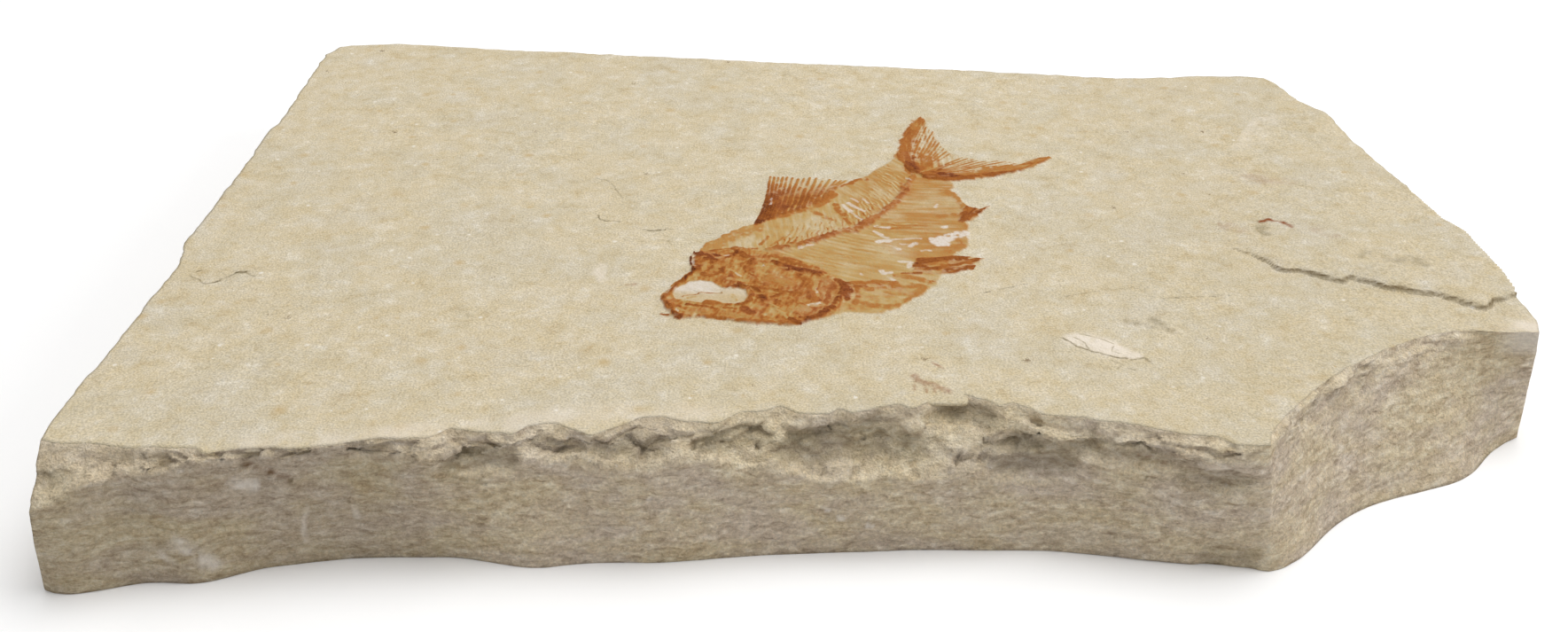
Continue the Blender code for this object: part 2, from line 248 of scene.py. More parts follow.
def border(grid):
    """The edge of a grid, once round: along its near side, up the right, back along the far side, down."""
    return np.concatenate([grid[:-1, 0], grid[-1, :-1], grid[:0:-1, -1], grid[0, :0:-1]])


def resampled(line, count, by_run=False):
    """count points evenly along a broken line, by its length or by its run in X."""
    line = np.asarray(line, dtype=float)
    steps = np.abs(np.diff(line[:, 0])) if by_run else np.linalg.norm(np.diff(line, axis=0), axis=1)
    progress = np.concatenate([[0.0], np.cumsum(np.maximum(steps, 1e-6))])
    wanted = np.linspace(0, progress[-1], count)
    return np.stack([np.interp(wanted, progress, line[:, k]) for k in range(line.shape[1])], axis=1)


# --- materials --------------------------------------------------------------------------------------

def linear(code):
    """An sRGB hex colour, or a colour setting that is linear already, as the numbers that shaders use."""
    if not isinstance(code, str):
        return [*code, 1.0]
    parts = [int(code[k:k + 2], 16) / 255 for k in (1, 3, 5)]
    return [p / 12.92 if p <= 0.04045 else ((p + 0.055) / 1.055) ** 2.4 for p in parts] + [1.0]


def add_node(tree, kind, inputs, **settings):
    """Adds a node: sets its settings, links the inputs that are sockets and fills in the others."""
    node = tree.nodes.new(kind)
    stops = settings.pop("stops", ())
    for name, value in settings.items():
        setattr(node, name, value)
    for place, code in stops[1:-1]:
        node.color_ramp.elements.new(place)
    for element, (place, code) in zip(node.color_ramp.elements if stops else (), stops):
        element.position, element.color = place, linear(code)
    for socket, value in inputs.items():
        if isinstance(value, bpy.types.NodeSocket):
            tree.links.new(value, node.inputs[socket])
        else:
            node.inputs[socket].default_value = value
    return node


def per_mm(size):
    """The noise scale whose lumps have this size in millimetres, in a pattern laid out in metres."""
    return 1 / (size * MM)


def dull_material(name, paint, roughness, specular, strength, depth):
    """A rough material made once and shared by the pieces that need it.

    paint lays out its nodes in a tree and returns its colour and its height, which stands out by the
    bump's strength and its depth in millimetres.
    """
    material = bpy.data.materials.get(name)
    if material is None:
        material = bpy.data.materials.new(name)
        material.use_nodes = True
        tree = material.node_tree
        colour, height = paint(tree)
        bump = add_node(tree, "ShaderNodeBump",
                        {"Height": height, "Strength": strength, "Distance": depth * MM})
        shader = tree.nodes["Principled BSDF"]
        shader.inputs["Roughness"].default_value = roughness
        shader.inputs["Specular IOR Level"].default_value = specular
        tree.links.new(colour, shader.inputs["Base Color"])
        tree.links.new(bump.outputs[0], shader.inputs["Normal"])
    return material


def stone_colour(tree):
    """Colour and relief of fine-grained platy limestone, shared by the stone and the bone over it.

    Clouds some 14 mm wide and a finer mottle carry the creams; small specks of ochre, brown and white
    calcite sit in them, one at most in each cell of a scattered pattern.
    """
    size = bpy.context.scene.slab_finish
    where = add_node(tree, "ShaderNodeTexCoord", {}).outputs["Object"]
    clouds = add_node(tree, "ShaderNodeTexNoise",
                      {"Vector": where, "Scale": per_mm(14), "Detail": 5, "Roughness": 0.6}).outputs[0]
    mottle = add_node(tree, "ShaderNodeTexNoise",
                      {"Vector": where, "Scale": per_mm(3.2), "Detail": 8, "Roughness": 0.8,
                       "Distortion": 0.2}).outputs[0]
    # The carbonate grains are some 0.05 mm across, so they are drawn about six times coarser to show.
    grain = add_node(tree, "ShaderNodeTexNoise",
                     {"Vector": where, "Scale": per_mm(0.3), "Detail": 2}).outputs[0]
    wide = add_node(tree, "ShaderNodeValToRGB", {"Fac": clouds},
                    stops=[(0.3, "#CFC6B4"), (0.45, "#CDC0A3"), (0.55, size.warm_stone),
                           (0.7, size.cool_stone)]).outputs[0]
    tone = add_node(tree, "ShaderNodeValToRGB", {"Fac": mottle},
                    stops=[(0.3, "#AA926A"), (0.43, "#C9BB9C"), (0.57, "#D5CBB6"),
                           (0.7, "#EFEADF")]).outputs[0]
    colour = add_node(tree, "ShaderNodeMix", {0: 0.6, 6: wide, 7: tone}, data_type="RGBA").outputs[2]
    shade = add_node(tree, "ShaderNodeMapRange", {"Value": grain, "From Min": 0.3, "From Max": 0.7,
                                                  "To Min": 0.77, "To Max": 1.15}).outputs[0]
    colour = add_node(tree, "ShaderNodeMix", {0: 1.0, 6: colour, 7: shade}, data_type="RGBA",
                      blend_type="MULTIPLY").outputs[2]
    # Specks of ochre, brown and white: the cells' size, the largest speck, its strength and its colour.
    for spacing, largest, rise, stain in ((4.0, 0.36, 1.0, "#C3AC82"), (6.0, 0.13, 1.6, "#8C7A60"),
                                          (2.6, 0.19, 1.5, "#E8E1D3")):
        cells = add_node(tree, "ShaderNodeTexVoronoi", {"Vector": where, "Scale": per_mm(spacing)})
        chosen = add_node(tree, "ShaderNodeMath", {0: cells.outputs["Color"], 1: 3.0, 2: -1.6},
                          operation="MULTIPLY_ADD", use_clamp=True).outputs[0]
        reach = add_node(tree, "ShaderNodeMath", {0: chosen, 1: largest}, operation="MULTIPLY").outputs[0]
        ragged = add_node(tree, "ShaderNodeMath", {0: grain, 1: 0.3, 2: cells.outputs["Distance"]},
                          operation="MULTIPLY_ADD").outputs[0]
        ragged = add_node(tree, "ShaderNodeMath", {0: ragged, 1: 0.13}, operation="SUBTRACT").outputs[0]
        spot = add_node(tree, "ShaderNodeMapRange", {"Value": ragged, "From Min": reach, "From Max": 0.0,
                                                     "To Max": rise}).outputs[0]
        colour = add_node(tree, "ShaderNodeMix", {0: spot, 6: colour, 7: linear(stain)},
                          data_type="RGBA").outputs[2]
    height = add_node(tree, "ShaderNodeMath", {0: mottle, 1: grain}, operation="ADD").outputs[0]
    return colour, height


def stained(tree, colour, stains):
    """A colour with named stains laid over it, each as strongly as the mesh's own field of that name says;
    some fields also carry painted shade.
    """
    for name, stain in stains:
        field = add_node(tree, "ShaderNodeAttribute", {}, attribute_name=name).outputs["Fac"]
        colour = add_node(tree, "ShaderNodeMix", {0: field, 6: colour, 7: linear(stain)},
                          data_type="RGBA").outputs[2]
    return colour


def split_limestone(tree):
    """Platy lithographic limestone split along its bedding: chalky, dull, mottled cream with a fine grain."""
    colour, height = stone_colour(tree)
    # Dirt and stains, and a painted shadow along the standing bed's ledge, are laid on from the mesh's
    # fields.
    colour = stained(tree, colour, (("smudge_and_shade", "#5C4E2A"), ("rust_and_shade", "#8A5230"), ("chalk_and_highlight", "#EBE0D2")))
    return colour, height


def broken_limestone(tree):
    """The same limestone broken across its bedding: crinkled level streaks of cream and grey. Faces that turn
    away from straight up are made duller and darker, partly an older break's own colour and partly painted
    shade; the streaks are painted dark where their relief is low, as shade in their cracks.
    """
    colour, height = stone_colour(tree)
    where = add_node(tree, "ShaderNodeTexCoord", {}).outputs["Object"]
    # Level bedding: the pattern is squeezed in Z, so a 2 mm streak is about 0.8 mm thick.
    level = add_node(tree, "ShaderNodeMapping", {"Vector": where, "Scale": (1, 1, 2.5)}).outputs[0]
    streaks = add_node(tree, "ShaderNodeTexNoise", {"Vector": level, "Scale": per_mm(2.0), "Detail": 8,
                                                    "Roughness": 0.72, "Distortion": 0.5}).outputs[0]
    bands = add_node(tree, "ShaderNodeTexNoise", {"Vector": level, "Scale": per_mm(16), "Detail": 4,
                                                  "Roughness": 0.6, "Distortion": 0.4}).outputs[0]
    # The ramps run dark where the streaks' relief is low and pale where it is high: painted shade in the
    # cracks and painted light on the ridges, over the cream and grey of the bedding.
    cream = add_node(tree, "ShaderNodeValToRGB", {"Fac": streaks},
                     stops=[(0.3, "#93795A"), (0.42, "#C7B08E"), (0.53, "#E1CFAE"),
                            (0.66, "#FAEED4")]).outputs[0]
    grey = add_node(tree, "ShaderNodeValToRGB", {"Fac": streaks},
                    stops=[(0.3, "#8B7465"), (0.42, "#BEAA98"), (0.53, "#DAC8B5"),
                           (0.68, "#FAEEE0")]).outputs[0]
    share = add_node(tree, "ShaderNodeMapRange",
                     {"Value": bands, "From Min": 0.4, "From Max": 0.6}).outputs[0]
    old_and_shaded = add_node(tree, "ShaderNodeMix", {0: share, 6: cream, 7: grey}, data_type="RGBA").outputs[2]
    old_and_shaded = add_node(tree, "ShaderNodeMix", {0: 0.25, 6: old_and_shaded, 7: colour}, data_type="RGBA").outputs[2]
    # Painted shade: the field read here darkens the break by how far its faces turn from straight up, over an
    # older break's duller colour.
    weathering_and_shade = add_node(tree, "ShaderNodeAttribute", {}, attribute_name="weathering_and_shade").outputs["Fac"]
    # Where that field is low, the same crinkles show half as strongly and about a sixth brighter: a newer
    # break's paler colour together with painted light on faces that look up.
    clean_and_lit = add_node(tree, "ShaderNodeMix", {0: 0.5, 6: old_and_shaded, 7: colour}, data_type="RGBA").outputs[2]
    clean_and_lit = add_node(tree, "ShaderNodeMix", {0: 1.0, 6: clean_and_lit, 7: (1.18, 1.17, 1.15, 1.0)}, data_type="RGBA",
                     blend_type="MULTIPLY").outputs[2]
    aged_and_shaded = add_node(tree, "ShaderNodeMix", {0: weathering_and_shade, 6: clean_and_lit, 7: old_and_shaded}, data_type="RGBA").outputs[2]
    # Crystal faces some 0.1 mm across glint and shade the break; they are drawn five times coarser.
    sparkle = add_node(tree, "ShaderNodeTexNoise",
                       {"Vector": where, "Scale": per_mm(0.5), "Detail": 4, "Roughness": 0.75}).outputs[0]
    shade = add_node(tree, "ShaderNodeMapRange", {"Value": sparkle, "From Min": 0.32, "From Max": 0.68,
                                                  "To Min": 0.82, "To Max": 1.22}).outputs[0]
    aged_and_shaded = add_node(tree, "ShaderNodeMix", {0: 1.0, 6: aged_and_shaded, 7: shade}, data_type="RGBA",
                    blend_type="MULTIPLY").outputs[2]
    # Dirt and stains, and the painted shade in the chip hollows, are laid on from the mesh's fields.
    aged_and_shaded = stained(tree, aged_and_shaded, (("smudge_and_shade", "#5C4E2E"), ("rust_and_shade", "#7E4A2A"), ("chalk_and_highlight", "#F6EEE4")))
    crags = add_node(tree, "ShaderNodeTexNoise",
                     {"Vector": level, "Scale": per_mm(4.5), "Detail": 3}).outputs[0]
    for ridges, strength in ((streaks, 1.8), (crags, 3.0)):
        height = add_node(tree, "ShaderNodeMath", {0: ridges, 1: strength, 2: height},
                          operation="MULTIPLY_ADD").outputs[0]
    return aged_and_shaded, height


def bedding_finish():
    """The finish of all stone along the bedding: its material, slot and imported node."""
    material = dull_material("split_limestone", split_limestone, roughness=0.92, specular=0.12,
                             strength=0.6, depth=0.3)
    return material, "limestone", SLAB


def broken_finish():
    """The finish of stone broken across the bedding: its material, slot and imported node."""
    material = dull_material("broken_limestone", broken_limestone, roughness=0.95, specular=0.1,
                             strength=0.9, depth=0.45)
    return material, "limestone", SLAB


# --- the slab ---------------------------------------------------------------------------------------

def packed_ring(low, high):
    """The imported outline's points between two heights, anticlockwise from the near left corner."""
    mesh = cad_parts[SLAB].data
    flat = np.zeros(len(mesh.vertices) * 3)
    mesh.vertices.foreach_get("co", flat)
    points = np.unique(np.round(flat.reshape(-1, 3) / MM, 3), axis=0)
    ring = points[(points[:, 2] > low) & (points[:, 2] < high)]
    ring = ring[np.hypot(ring[:, 0], ring[:, 1]) > OUTLINE_RADIUS]
    ring = ring[np.argsort(np.arctan2(ring[:, 1], ring[:, 0]))]
    start = np.argmin(np.hypot(*(ring[:, :2] - CORNERS[0]).T))
    return np.roll(ring, -start, axis=0)


def column_counts():
    """How many points lie along the near edge, round the bite and along the bite and right edge together."""
    size = bpy.context.scene.slab_finish
    return size.columns_across, size.columns_bite, size.columns_away


def four_sides(lines):
    """The near edge, the bite, the right, far and left edges as four sides of evenly spaced points."""
    near, bite, right, far, left = lines
    across, bitten, away = column_counts()
    right = np.concatenate([resampled(bite, bitten)[:-1], resampled(right, away - bitten + 1)])
    return [resampled(near, across, by_run=True), right, resampled(far, across, by_run=True),
            resampled(left, away)]


def cut_at_corners(ring):
    """A closed ring cut at its five corners into as many lines."""
    cuts = [int(np.argmin(np.hypot(*(ring[:, :2] - corner).T))) for corner in CORNERS] + [len(ring)]
    closed = np.concatenate([ring, ring[:1]])
    return [closed[a:b + 1] for a, b in zip(cuts, cuts[1:])]


def once_round(sides):
    """Four sides, each with both its ends, as one closed ring."""
    return np.concatenate([side[:-1] for side in sides])


def top_relief(points):
    """Height of the top face: the bedding plane with broad swells, small pits and a few raised patches."""
    flat = points * (1, 1, 0)
    return (BEDDING_PLANE + 0.10 * rough(flat, 26.0, 11) + 0.06 * rough(flat, 6.0, 17)
            + 0.05 * rough(flat, 1.9, 23))


def top_grid():
    """The top face as a grid of points: its four edges blended, then lifted to the relief."""
    raggedness = bpy.context.scene.slab_finish.raggedness
    held_ends = 8                       # points from each end of a side over which it turns ragged
    edges = []
    for number, side in enumerate(four_sides((CHIP_LINE, BITE_LINE, RIGHT_LINE, FAR_LINE, LEFT_LINE))):
        ends = np.minimum(np.arange(len(side)), np.arange(len(side))[::-1]) / held_ends
        ragged = rough(on_plane(side), 2.4, 31 + number) * np.clip(ends, 0, 1)
        heading = np.gradient(side, axis=0)
        outward = np.column_stack([heading[:, 1], -heading[:, 0]])
        outward /= np.linalg.norm(outward, axis=1)[:, None]
        edges.append(side + outward * (raggedness * ragged)[:, None])
    grid = coons_patch(edges[0], edges[1], edges[2][::-1], edges[3][::-1])
    grid = np.concatenate([grid, np.zeros(grid.shape[:2] + (1,))], axis=2)
    grid[..., 2] = top_relief(grid)
    return grid


def calmed(ring, reach, pins):
    """A closed ring's points averaged over their neighbours, over fewer of them near its pinned corners."""
    spot, half = np.arange(len(ring)), len(ring) / 2
    to_pin = np.abs((spot[:, None] - pins + half) % len(ring) - half).min(axis=1)
    room = np.minimum(reach, to_pin).astype(int)
    around = np.concatenate([np.zeros((1, ring.shape[1])), ring[-reach:], ring, ring[:reach]])
    total = np.cumsum(around, axis=0)
    return (total[spot + reach + room + 1] - total[spot + reach - room]) / (2 * room + 1)[:, None]


def surface_normals(grid):
    """The outward direction at each point of a grid whose columns close on themselves."""
    along = np.roll(grid, -1, axis=1) - np.roll(grid, 1, axis=1)
    normal = np.cross(along, np.gradient(grid, axis=0))
    return normal / np.maximum(np.linalg.norm(normal, axis=2)[..., None], 1e-9)


def wall_rows(rim):
    """The broken sides, still smooth, as rows of points from the underside to the rim.

    Straight lines join the foot, waist, brow and rim of each column, the rim's own raggedness only
    coming in at the very top. Also returned are each row's place, from 0 at the foot over 1 and 2 to 3
    at the rim, the brow, and how freely each column may move, which is least at the corners.
    """
    size = bpy.context.scene.slab_finish
    across, bitten, away = column_counts()
    pins = np.cumsum([0, across - 1, bitten - 1, away - bitten, across - 1])
    heights = [(ring - RING_SLACK, ring + RING_SLACK) for ring in (FOOT_RING, WAIST_RING)] + [BROW_RING]
    foot, waist, brow = [calmed(once_round(four_sides(cut_at_corners(packed_ring(low, high)))), 5, pins)
                         for low, high in heights]
    for line, push in ((waist, 0.5), (brow, 1.2)):
        line[:, 0] += push * eased(np.hypot(*(line[:, :2] - CORNERS[0]).T), 9.0, 1.0)
    corner = np.min([np.hypot(*(brow[:, :2] - point).T) for point in CORNERS], axis=0)
    free = 0.12 + 0.88 * eased(corner, 1.0, 9.0)
    brow = brow + drift(brow * (1, 1, 0), 5.0, (35, 36, 37)) * (0.3, 0.5, 0.9) * free[:, None]
    calm = calmed(rim, 9, pins)
    rows = size.rows_low + size.rows_low + size.rows_high + 1
    place = np.interp(np.arange(rows), [0, size.rows_low, 2 * size.rows_low, rows - 1], [0, 1, 2, 3])
    below = np.minimum(place.astype(int), 2)
    share = (place - below)[:, None, None]
    stack = np.array([foot, waist, brow, calm])
    grid = stack[below] * (1 - share) + stack[below + 1] * share
    grid += (rim - calm) * (eased(place, 2.0, 3.0) ** 3)[:, None, None]
    return grid, place, brow, free


def wall_grid(rim):
    """The broken sides as rows of points from the underside to the rim, and the fields that stain and shade
    them.

    First each chip pushes its points in, by the 0.7 power of one less the squares of their offsets, as a
    bowl does. Then every point moves along the surface's own direction by layered noise, stretched level
    so that it reads as bedding, and by facets on the chipped edge.
    """
    grid, place, brow, free = wall_rows(rim)
    near = eased(grid[..., 1], *CHIPPED_FROM_Y) * (1 - eased(grid[..., 0], *CHIPPED_TO_X))
    across = grid[..., 0] + 1.2 * rough(grid, 3.0, 57)
    height = grid[..., 2] + 0.7 * rough(grid, 3.0, 58)
    lip, hollow_shade = near * eased(place, 3.0, 2.75)[:, None], np.zeros(grid.shape[:2])
    for (x, z), (half_width, half_height), depth in CHIPS:
        inside = np.maximum(1 - ((across - x) / half_width) ** 2 - ((height - z) / half_height) ** 2, 0)
        grid[..., 1] += 0.7 * lip * depth * inside ** 0.7
        # Painted shade: the back of each chip's bowl above its lowest lip is marked for darkening, more for
        # deeper chips.
        back = eased(inside, 0.05, 0.5) * eased((height - z) / half_height, -0.75, -0.35)
        hollow_shade = np.maximum(hollow_shade, back * min(1, depth / 1.8))

    top_row = len(place) - 1
    held = eased(grid[..., 2], -0.3, 0.6) * eased(np.arange(top_row + 1), top_row, top_row - 8)[:, None]
    chipped = eased(place, 1.8, 2.15)[:, None] * (0.3 + 0.7 * eased(brow[:, 1], -46.0, -52.0))
    swell = (0.45 * rough(grid, (24, 24, 12), 41) + 0.35 * rough(grid, (9, 9, 3.0), 47)
             + 0.22 * rough(grid, (4.5, 4.5, 0.9), 53, 2) + 0.10 * rough(grid, (1.6, 1.6, 0.6), 55, 2))
    broken = 0.85 * facets(grid, (6.0, 6.0, 3.0), 61) + 0.5 * facets(grid, (2.6, 2.6, 1.3), 67)
    grid += surface_normals(grid) * (held * free * (swell + chipped * broken))[..., None]
    return grid, wall_fields(grid, place, near, hollow_shade)


def wall_fields(grid, place, near, hollow_shade):
    """What colours the broken sides: faces that look up are newly chipped and painted lighter, as lit; steep
    and overhanging ones are older breaks and painted darker, as shaded; painted shade fills the chip hollows,
    a darker band runs just under the rim, and the marks are laid on last.
    """
    x, z = grid[..., 0], grid[..., 2]
    looks_up = surface_normals(grid)[..., 2]
    # Painted shade: the more a face turns from straight up, the darker it is coloured, along with an older
    # break's duller colour.
    weathering_and_shade = eased(looks_up + 0.18 * rough(grid, 1.4, 59, 2), 0.8, 0.4)
    # Painted light: faces in the chipped band that look up are coloured paler, along with a newer break's
    # paler colour.
    fresh_and_lit = (eased(place, 1.85, 2.05)[:, None] * near
             * eased(looks_up + 0.3 * rough(grid, 2.5, 69, 2), 0.05, 0.35))
    floor = np.interp(x, *LOWEST_FRESH)
    crust = eased(place, 2.4, 2.75)[:, None] * eased(x, -84.0, -78.0)
    above_ledge = eased(place, 2.12, 2.36)[:, None] * eased(x, -84.0, -78.0)
    fresh_and_lit *= eased(z, floor - 1.0, floor + 0.5) * (1 - 0.35 * above_ledge) * (1 - 0.6 * crust)
    fresh_and_lit *= (1 - hollow_shade) * np.clip(0.65 + 0.8 * rough(grid, (3.0, 3.0, 1.4), 85), 0.2, 1)
    fresh_and_lit *= 1 - eased(x, -80.0, -75.0) * (1 - eased(x, -59.0, -55.0))

    # A darker band just under the rim, then a darkening over the left of the near side, kept off its paler
    # chip faces.
    smudge_and_shade = 0.18 * near * (eased(place, 2.72, 2.95)[:, None] * eased(rough(grid, 4.0, 77), -0.4, 0.5)
                            * eased(x, -82.0, -74.0))
    smudge_and_shade += 0.24 * near * (1 - eased(x, -62.0, -40.0)) * (1 - fresh_and_lit)
    # Painted shade in the chip hollows.
    smudge_and_shade += hollow_shade * (0.34 + 0.16 * rough(grid, 1.6, 81, 2)) * (1 - smudge_and_shade)
    at_corner = eased(np.hypot(*np.moveaxis(grid[..., :2] - RUBBED_CORNER, -1, 0)), 6.5, 2.0)
    fields = {"weathering_and_shade": weathering_and_shade * (1 - 0.9 * fresh_and_lit), "smudge_and_shade": smudge_and_shade, "rust_and_shade": np.zeros(x.shape),
              "chalk_and_highlight": 0.55 * at_corner * eased(z + rough(grid, 1.5, 83), 13.0, 16.5)}
    drifted = (grid[..., [0, 2]] + 0.3 * drift(grid, 1.2, (63, 65))).reshape(-1, 2)
    specks = np.clip(0.75 + 1.1 * rough(grid, 0.8, 79, 2), 0, 1)
    for field, strength, wide, line in WALL_MARKS:
        near_mark = nearness(drifted, line, wide).reshape(x.shape) * near
        fields[field] = np.maximum(fields[field], strength * near_mark * specks)
    return fields


def inset(ring, distance, height):
    """A closed ring moved towards its middle and set at one height."""
    middle = ring[:, :2].mean(axis=0)
    reach = ring[:, :2] - middle
    moved = middle + reach * (1 - distance / np.linalg.norm(reach, axis=1))[:, None]
    return np.column_stack([moved, np.full(len(ring), height)])


def build_slab():
    """The top face and the broken sides: two closed shells that share the rim line."""
    top = top_grid()
    rim = border(top)
    walls, marks = wall_grid(rim)
    core = np.concatenate([inset(walls[0], *UNDERSIDE_LIP)[None], walls, inset(rim, *BROW_LIP)[None]])
    marks = {name: np.concatenate([field[:1], field, field[-1:]]) for name, field in marks.items()}
    index = np.arange(core.shape[0] * core.shape[1]).reshape(core.shape[:2])
    wrapped = np.concatenate([index, index[:, :1]], axis=1)
    caps = [index[-1], index[0][::-1]]
    new_piece("broken_sides", core.reshape(-1, 3), grid_quads(wrapped.T), caps, broken_finish(), marks,
              np.concatenate(caps))

    index = np.arange(top.shape[0] * top.shape[1]).reshape(top.shape[:2])
    skirt = inset(rim, *TOP_SKIRT)
    below = np.arange(len(skirt)) + index.size
    edge = border(index)
    loop = np.stack([np.append(below, below[0]), np.append(edge, edge[0])])
    quads = np.concatenate([grid_quads(index), grid_quads(loop.T)])
    points = np.concatenate([top.reshape(-1, 3), skirt])
    flat, still = points[:, :2], points * (1, 1, 0)
    patches = np.clip(0.6 + 0.9 * rough(still, 2.6, 87), 0, 1)
    corner = 0.6 * eased(np.hypot(*(flat - RUBBED_CORNER).T), 6.5, 2.0)
    rubbed = {"chalk_and_highlight": patches * np.maximum(corner, 0.35 * nearness(flat, RUBBED_EDGE, 3.4)),
              "smudge_and_shade": EVEN_DUST * eased(flat[:, 0], 25.0, 65.0)}
    new_piece("bedding_face", points, quads, [below[::-1]], bedding_finish(), rubbed, below)


# --- the fish ---------------------------------------------------------------------------------------

BODY_LINE = [(-25.4, -31.6), (-25.2, -30.4), (-24.3, -28.0), (-23.2, -26.0), (-21.9, -23.6),
             (-21.5, -21.0), (-21.6, -18.6), (-20.8, -16.6), (-20.2, -14.0), (-18.6, -12.8),
             (-17.2, -11.2), (-15.6, -9.6), (-14.0, -8.0), (-12.0, -7.4), (-7.0, -2.0), (-2.0, 2.8),
             (1.4, 6.4), (4.6, 9.6), (7.0, 11.0), (8.9, 14.0), (12.6, 18.6), (14.6, 16.0), (17.6, 12.6),
             (21.4, 8.8), (21.6, 6.6), (20.9, 5.2), (21.6, 3.8), (22.2, 1.6), (23.2, -0.6), (22.8, -3.2),
             (22.4, -7.4), (22.2, -10.0), (21.8, -14.6), (19.4, -17.6), (18.4, -21.0), (16.6, -24.6),
             (15.6, -27.0), (13.8, -29.8), (11.6, -31.8), (9.6, -34.2), (5.6, -35.9), (1.6, -35.6),
             (-1.0, -36.8), (-3.2, -37.9), (-5.2, -38.6), (-6.0, -39.3), (-12.6, -38.6), (-16.4, -37.6),
             (-19.0, -36.9), (-22.4, -36.9), (-24.4, -36.3), (-24.0, -35.2), (-24.8, -33.6)]
HEAD_LINE = [(-26.0, -31.4), (-23.9, -26.4), (-22.2, -23.2), (-22.2, -18.6), (-21.2, -16.6),
             (-18.4, -15.9), (-13.6, -15.5), (-10.4, -16.4), (-6.4, -18.4), (-2.2, -21.4), (0.6, -24.8),
             (2.2, -26.6), (2.6, -29.6), (1.6, -33.0), (0.4, -35.8), (-4.0, -38.6), (-6.0, -40.0),
             (-13.0, -39.2), (-19.0, -37.7), (-24.8, -37.2), (-26.2, -35.6), (-25.4, -33.0)]
ORBIT_LINE = [(-23.5, -28.6), (-22.6, -27.3), (-21.5, -26.4), (-19.8, -26.0), (-18.3, -26.4),
              (-17.3, -27.3), (-16.0, -28.6), (-15.0, -28.7), (-14.2, -28.4), (-13.0, -29.0),
              (-12.7, -30.6), (-13.0, -32.4), (-14.2, -33.2), (-16.4, -33.0), (-17.3, -32.2),
              (-18.8, -32.1), (-19.4, -32.9), (-20.8, -32.6), (-22.2, -32.0), (-23.3, -31.7),
              (-24.0, -30.2)]
BACKBONE = [(-9.6, -16.2), (-7.0, -15.2), (-4.2, -14.2), (-1.6, -12.6), (1.0, -10.8), (4.4, -9.2),
            (6.4, -6.8), (8.6, -4.2), (10.4, -1.6), (12.4, 3.0), (13.3, 6.0), (15.2, 10.6)]
DORSAL_LINE = [(-12.2, -7.8), (-11.0, -3.6), (-10.3, 1.0), (-9.9, 5.0), (-9.6, 10.3), (-8.0, 10.0),
               (-6.6, 10.4), (-4.8, 9.4), (-3.2, 10.0), (0.6, 9.0), (3.4, 8.6), (5.0, 9.6), (3.4, 7.6),
               (1.0, 4.6), (-2.0, 1.6), (-5.4, -2.0), (-8.0, -4.8), (-10.4, -6.6)]
TAIL_LINE = [(12.0, 17.4), (12.4, 20.6), (13.5, 26.2), (15.2, 31.5), (16.4, 34.6), (18.4, 37.6),
             (19.4, 33.4), (20.4, 27.6), (21.0, 23.4), (22.4, 20.4), (24.4, 19.0), (26.6, 17.4),
             (30.0, 17.2), (34.0, 16.4), (37.2, 18.2), (40.6, 19.2), (39.2, 17.0), (36.4, 14.2),
             (32.0, 11.9), (28.0, 10.0), (24.6, 8.9), (21.6, 8.4), (17.0, 8.2), (14.0, 12.4)]
PELVIC_LINE = [(12.0, -23.4), (12.5, -20.8), (13.4, -18.9), (15.6, -18.2), (18.0, -18.0), (21.0, -18.2),
               (24.3, -18.8), (21.8, -20.5), (21.0, -22.6), (18.6, -23.9), (15.8, -24.3), (13.6, -23.8)]
ANAL_LINE = [(20.8, -7.4), (21.2, -3.8), (22.4, -0.8), (23.6, -1.4), (24.6, -1.8), (26.7, -1.0), (25.2, -3.6),
             (23.2, -6.2)]
THROAT_LINE = [(2.0, -27.0), (10.4, -26.2), (16.6, -25.2), (13.8, -30.0), (9.6, -34.4), (5.6, -36.1),
               (1.2, -35.8), (2.4, -32.0)]

# Fin rays from base to tip: the key rays of each fan, between which more are spaced.
UPPER_RAYS = [[(14.6, 12.0), (13.0, 17.0), (12.9, 20.5), (13.9, 26.5), (15.8, 32.0), (18.4, 37.4)],
              [(14.9, 12.0), (14.2, 17.0), (14.5, 21.0), (15.7, 26.5), (17.2, 31.5), (18.8, 36.0)],
              [(15.2, 12.0), (15.2, 17.0), (16.0, 21.0), (17.2, 25.5), (18.4, 30.0), (19.3, 33.0)],
              [(15.4, 12.0), (16.2, 16.0), (17.4, 19.5), (18.6, 23.0), (19.5, 25.8), (20.3, 28.2)],
              [(15.6, 12.0), (17.0, 15.0), (18.4, 17.6), (19.4, 19.9), (20.3, 21.8), (21.0, 23.6)],
              [(15.8, 11.8), (17.6, 14.2), (19.0, 16.0), (20.3, 17.6), (21.3, 18.9), (22.3, 20.2)]]
LOWER_RAYS = [[(16.2, 11.4), (18.4, 13.2), (20.2, 14.8), (21.8, 16.2), (23.2, 17.4), (24.6, 18.8)],
              [(16.4, 11.2), (19.0, 12.4), (21.4, 13.8), (23.6, 15.2), (25.6, 16.4), (27.4, 17.4)],
              [(16.6, 10.8), (20.0, 11.6), (23.4, 12.8), (26.4, 14.2), (29.4, 15.6), (32.0, 16.8)],
              [(16.8, 10.4), (20.6, 10.6), (25.0, 11.4), (29.4, 13.0), (33.6, 15.0), (38.0, 18.2)],
              [(17.0, 10.0), (21.0, 9.6), (26.0, 10.0), (31.0, 11.6), (35.8, 14.2), (40.4, 18.9)],
              [(17.4, 9.6), (21.0, 8.8), (25.5, 9.2), (30.0, 10.9), (34.0, 13.0), (36.6, 14.6)]]
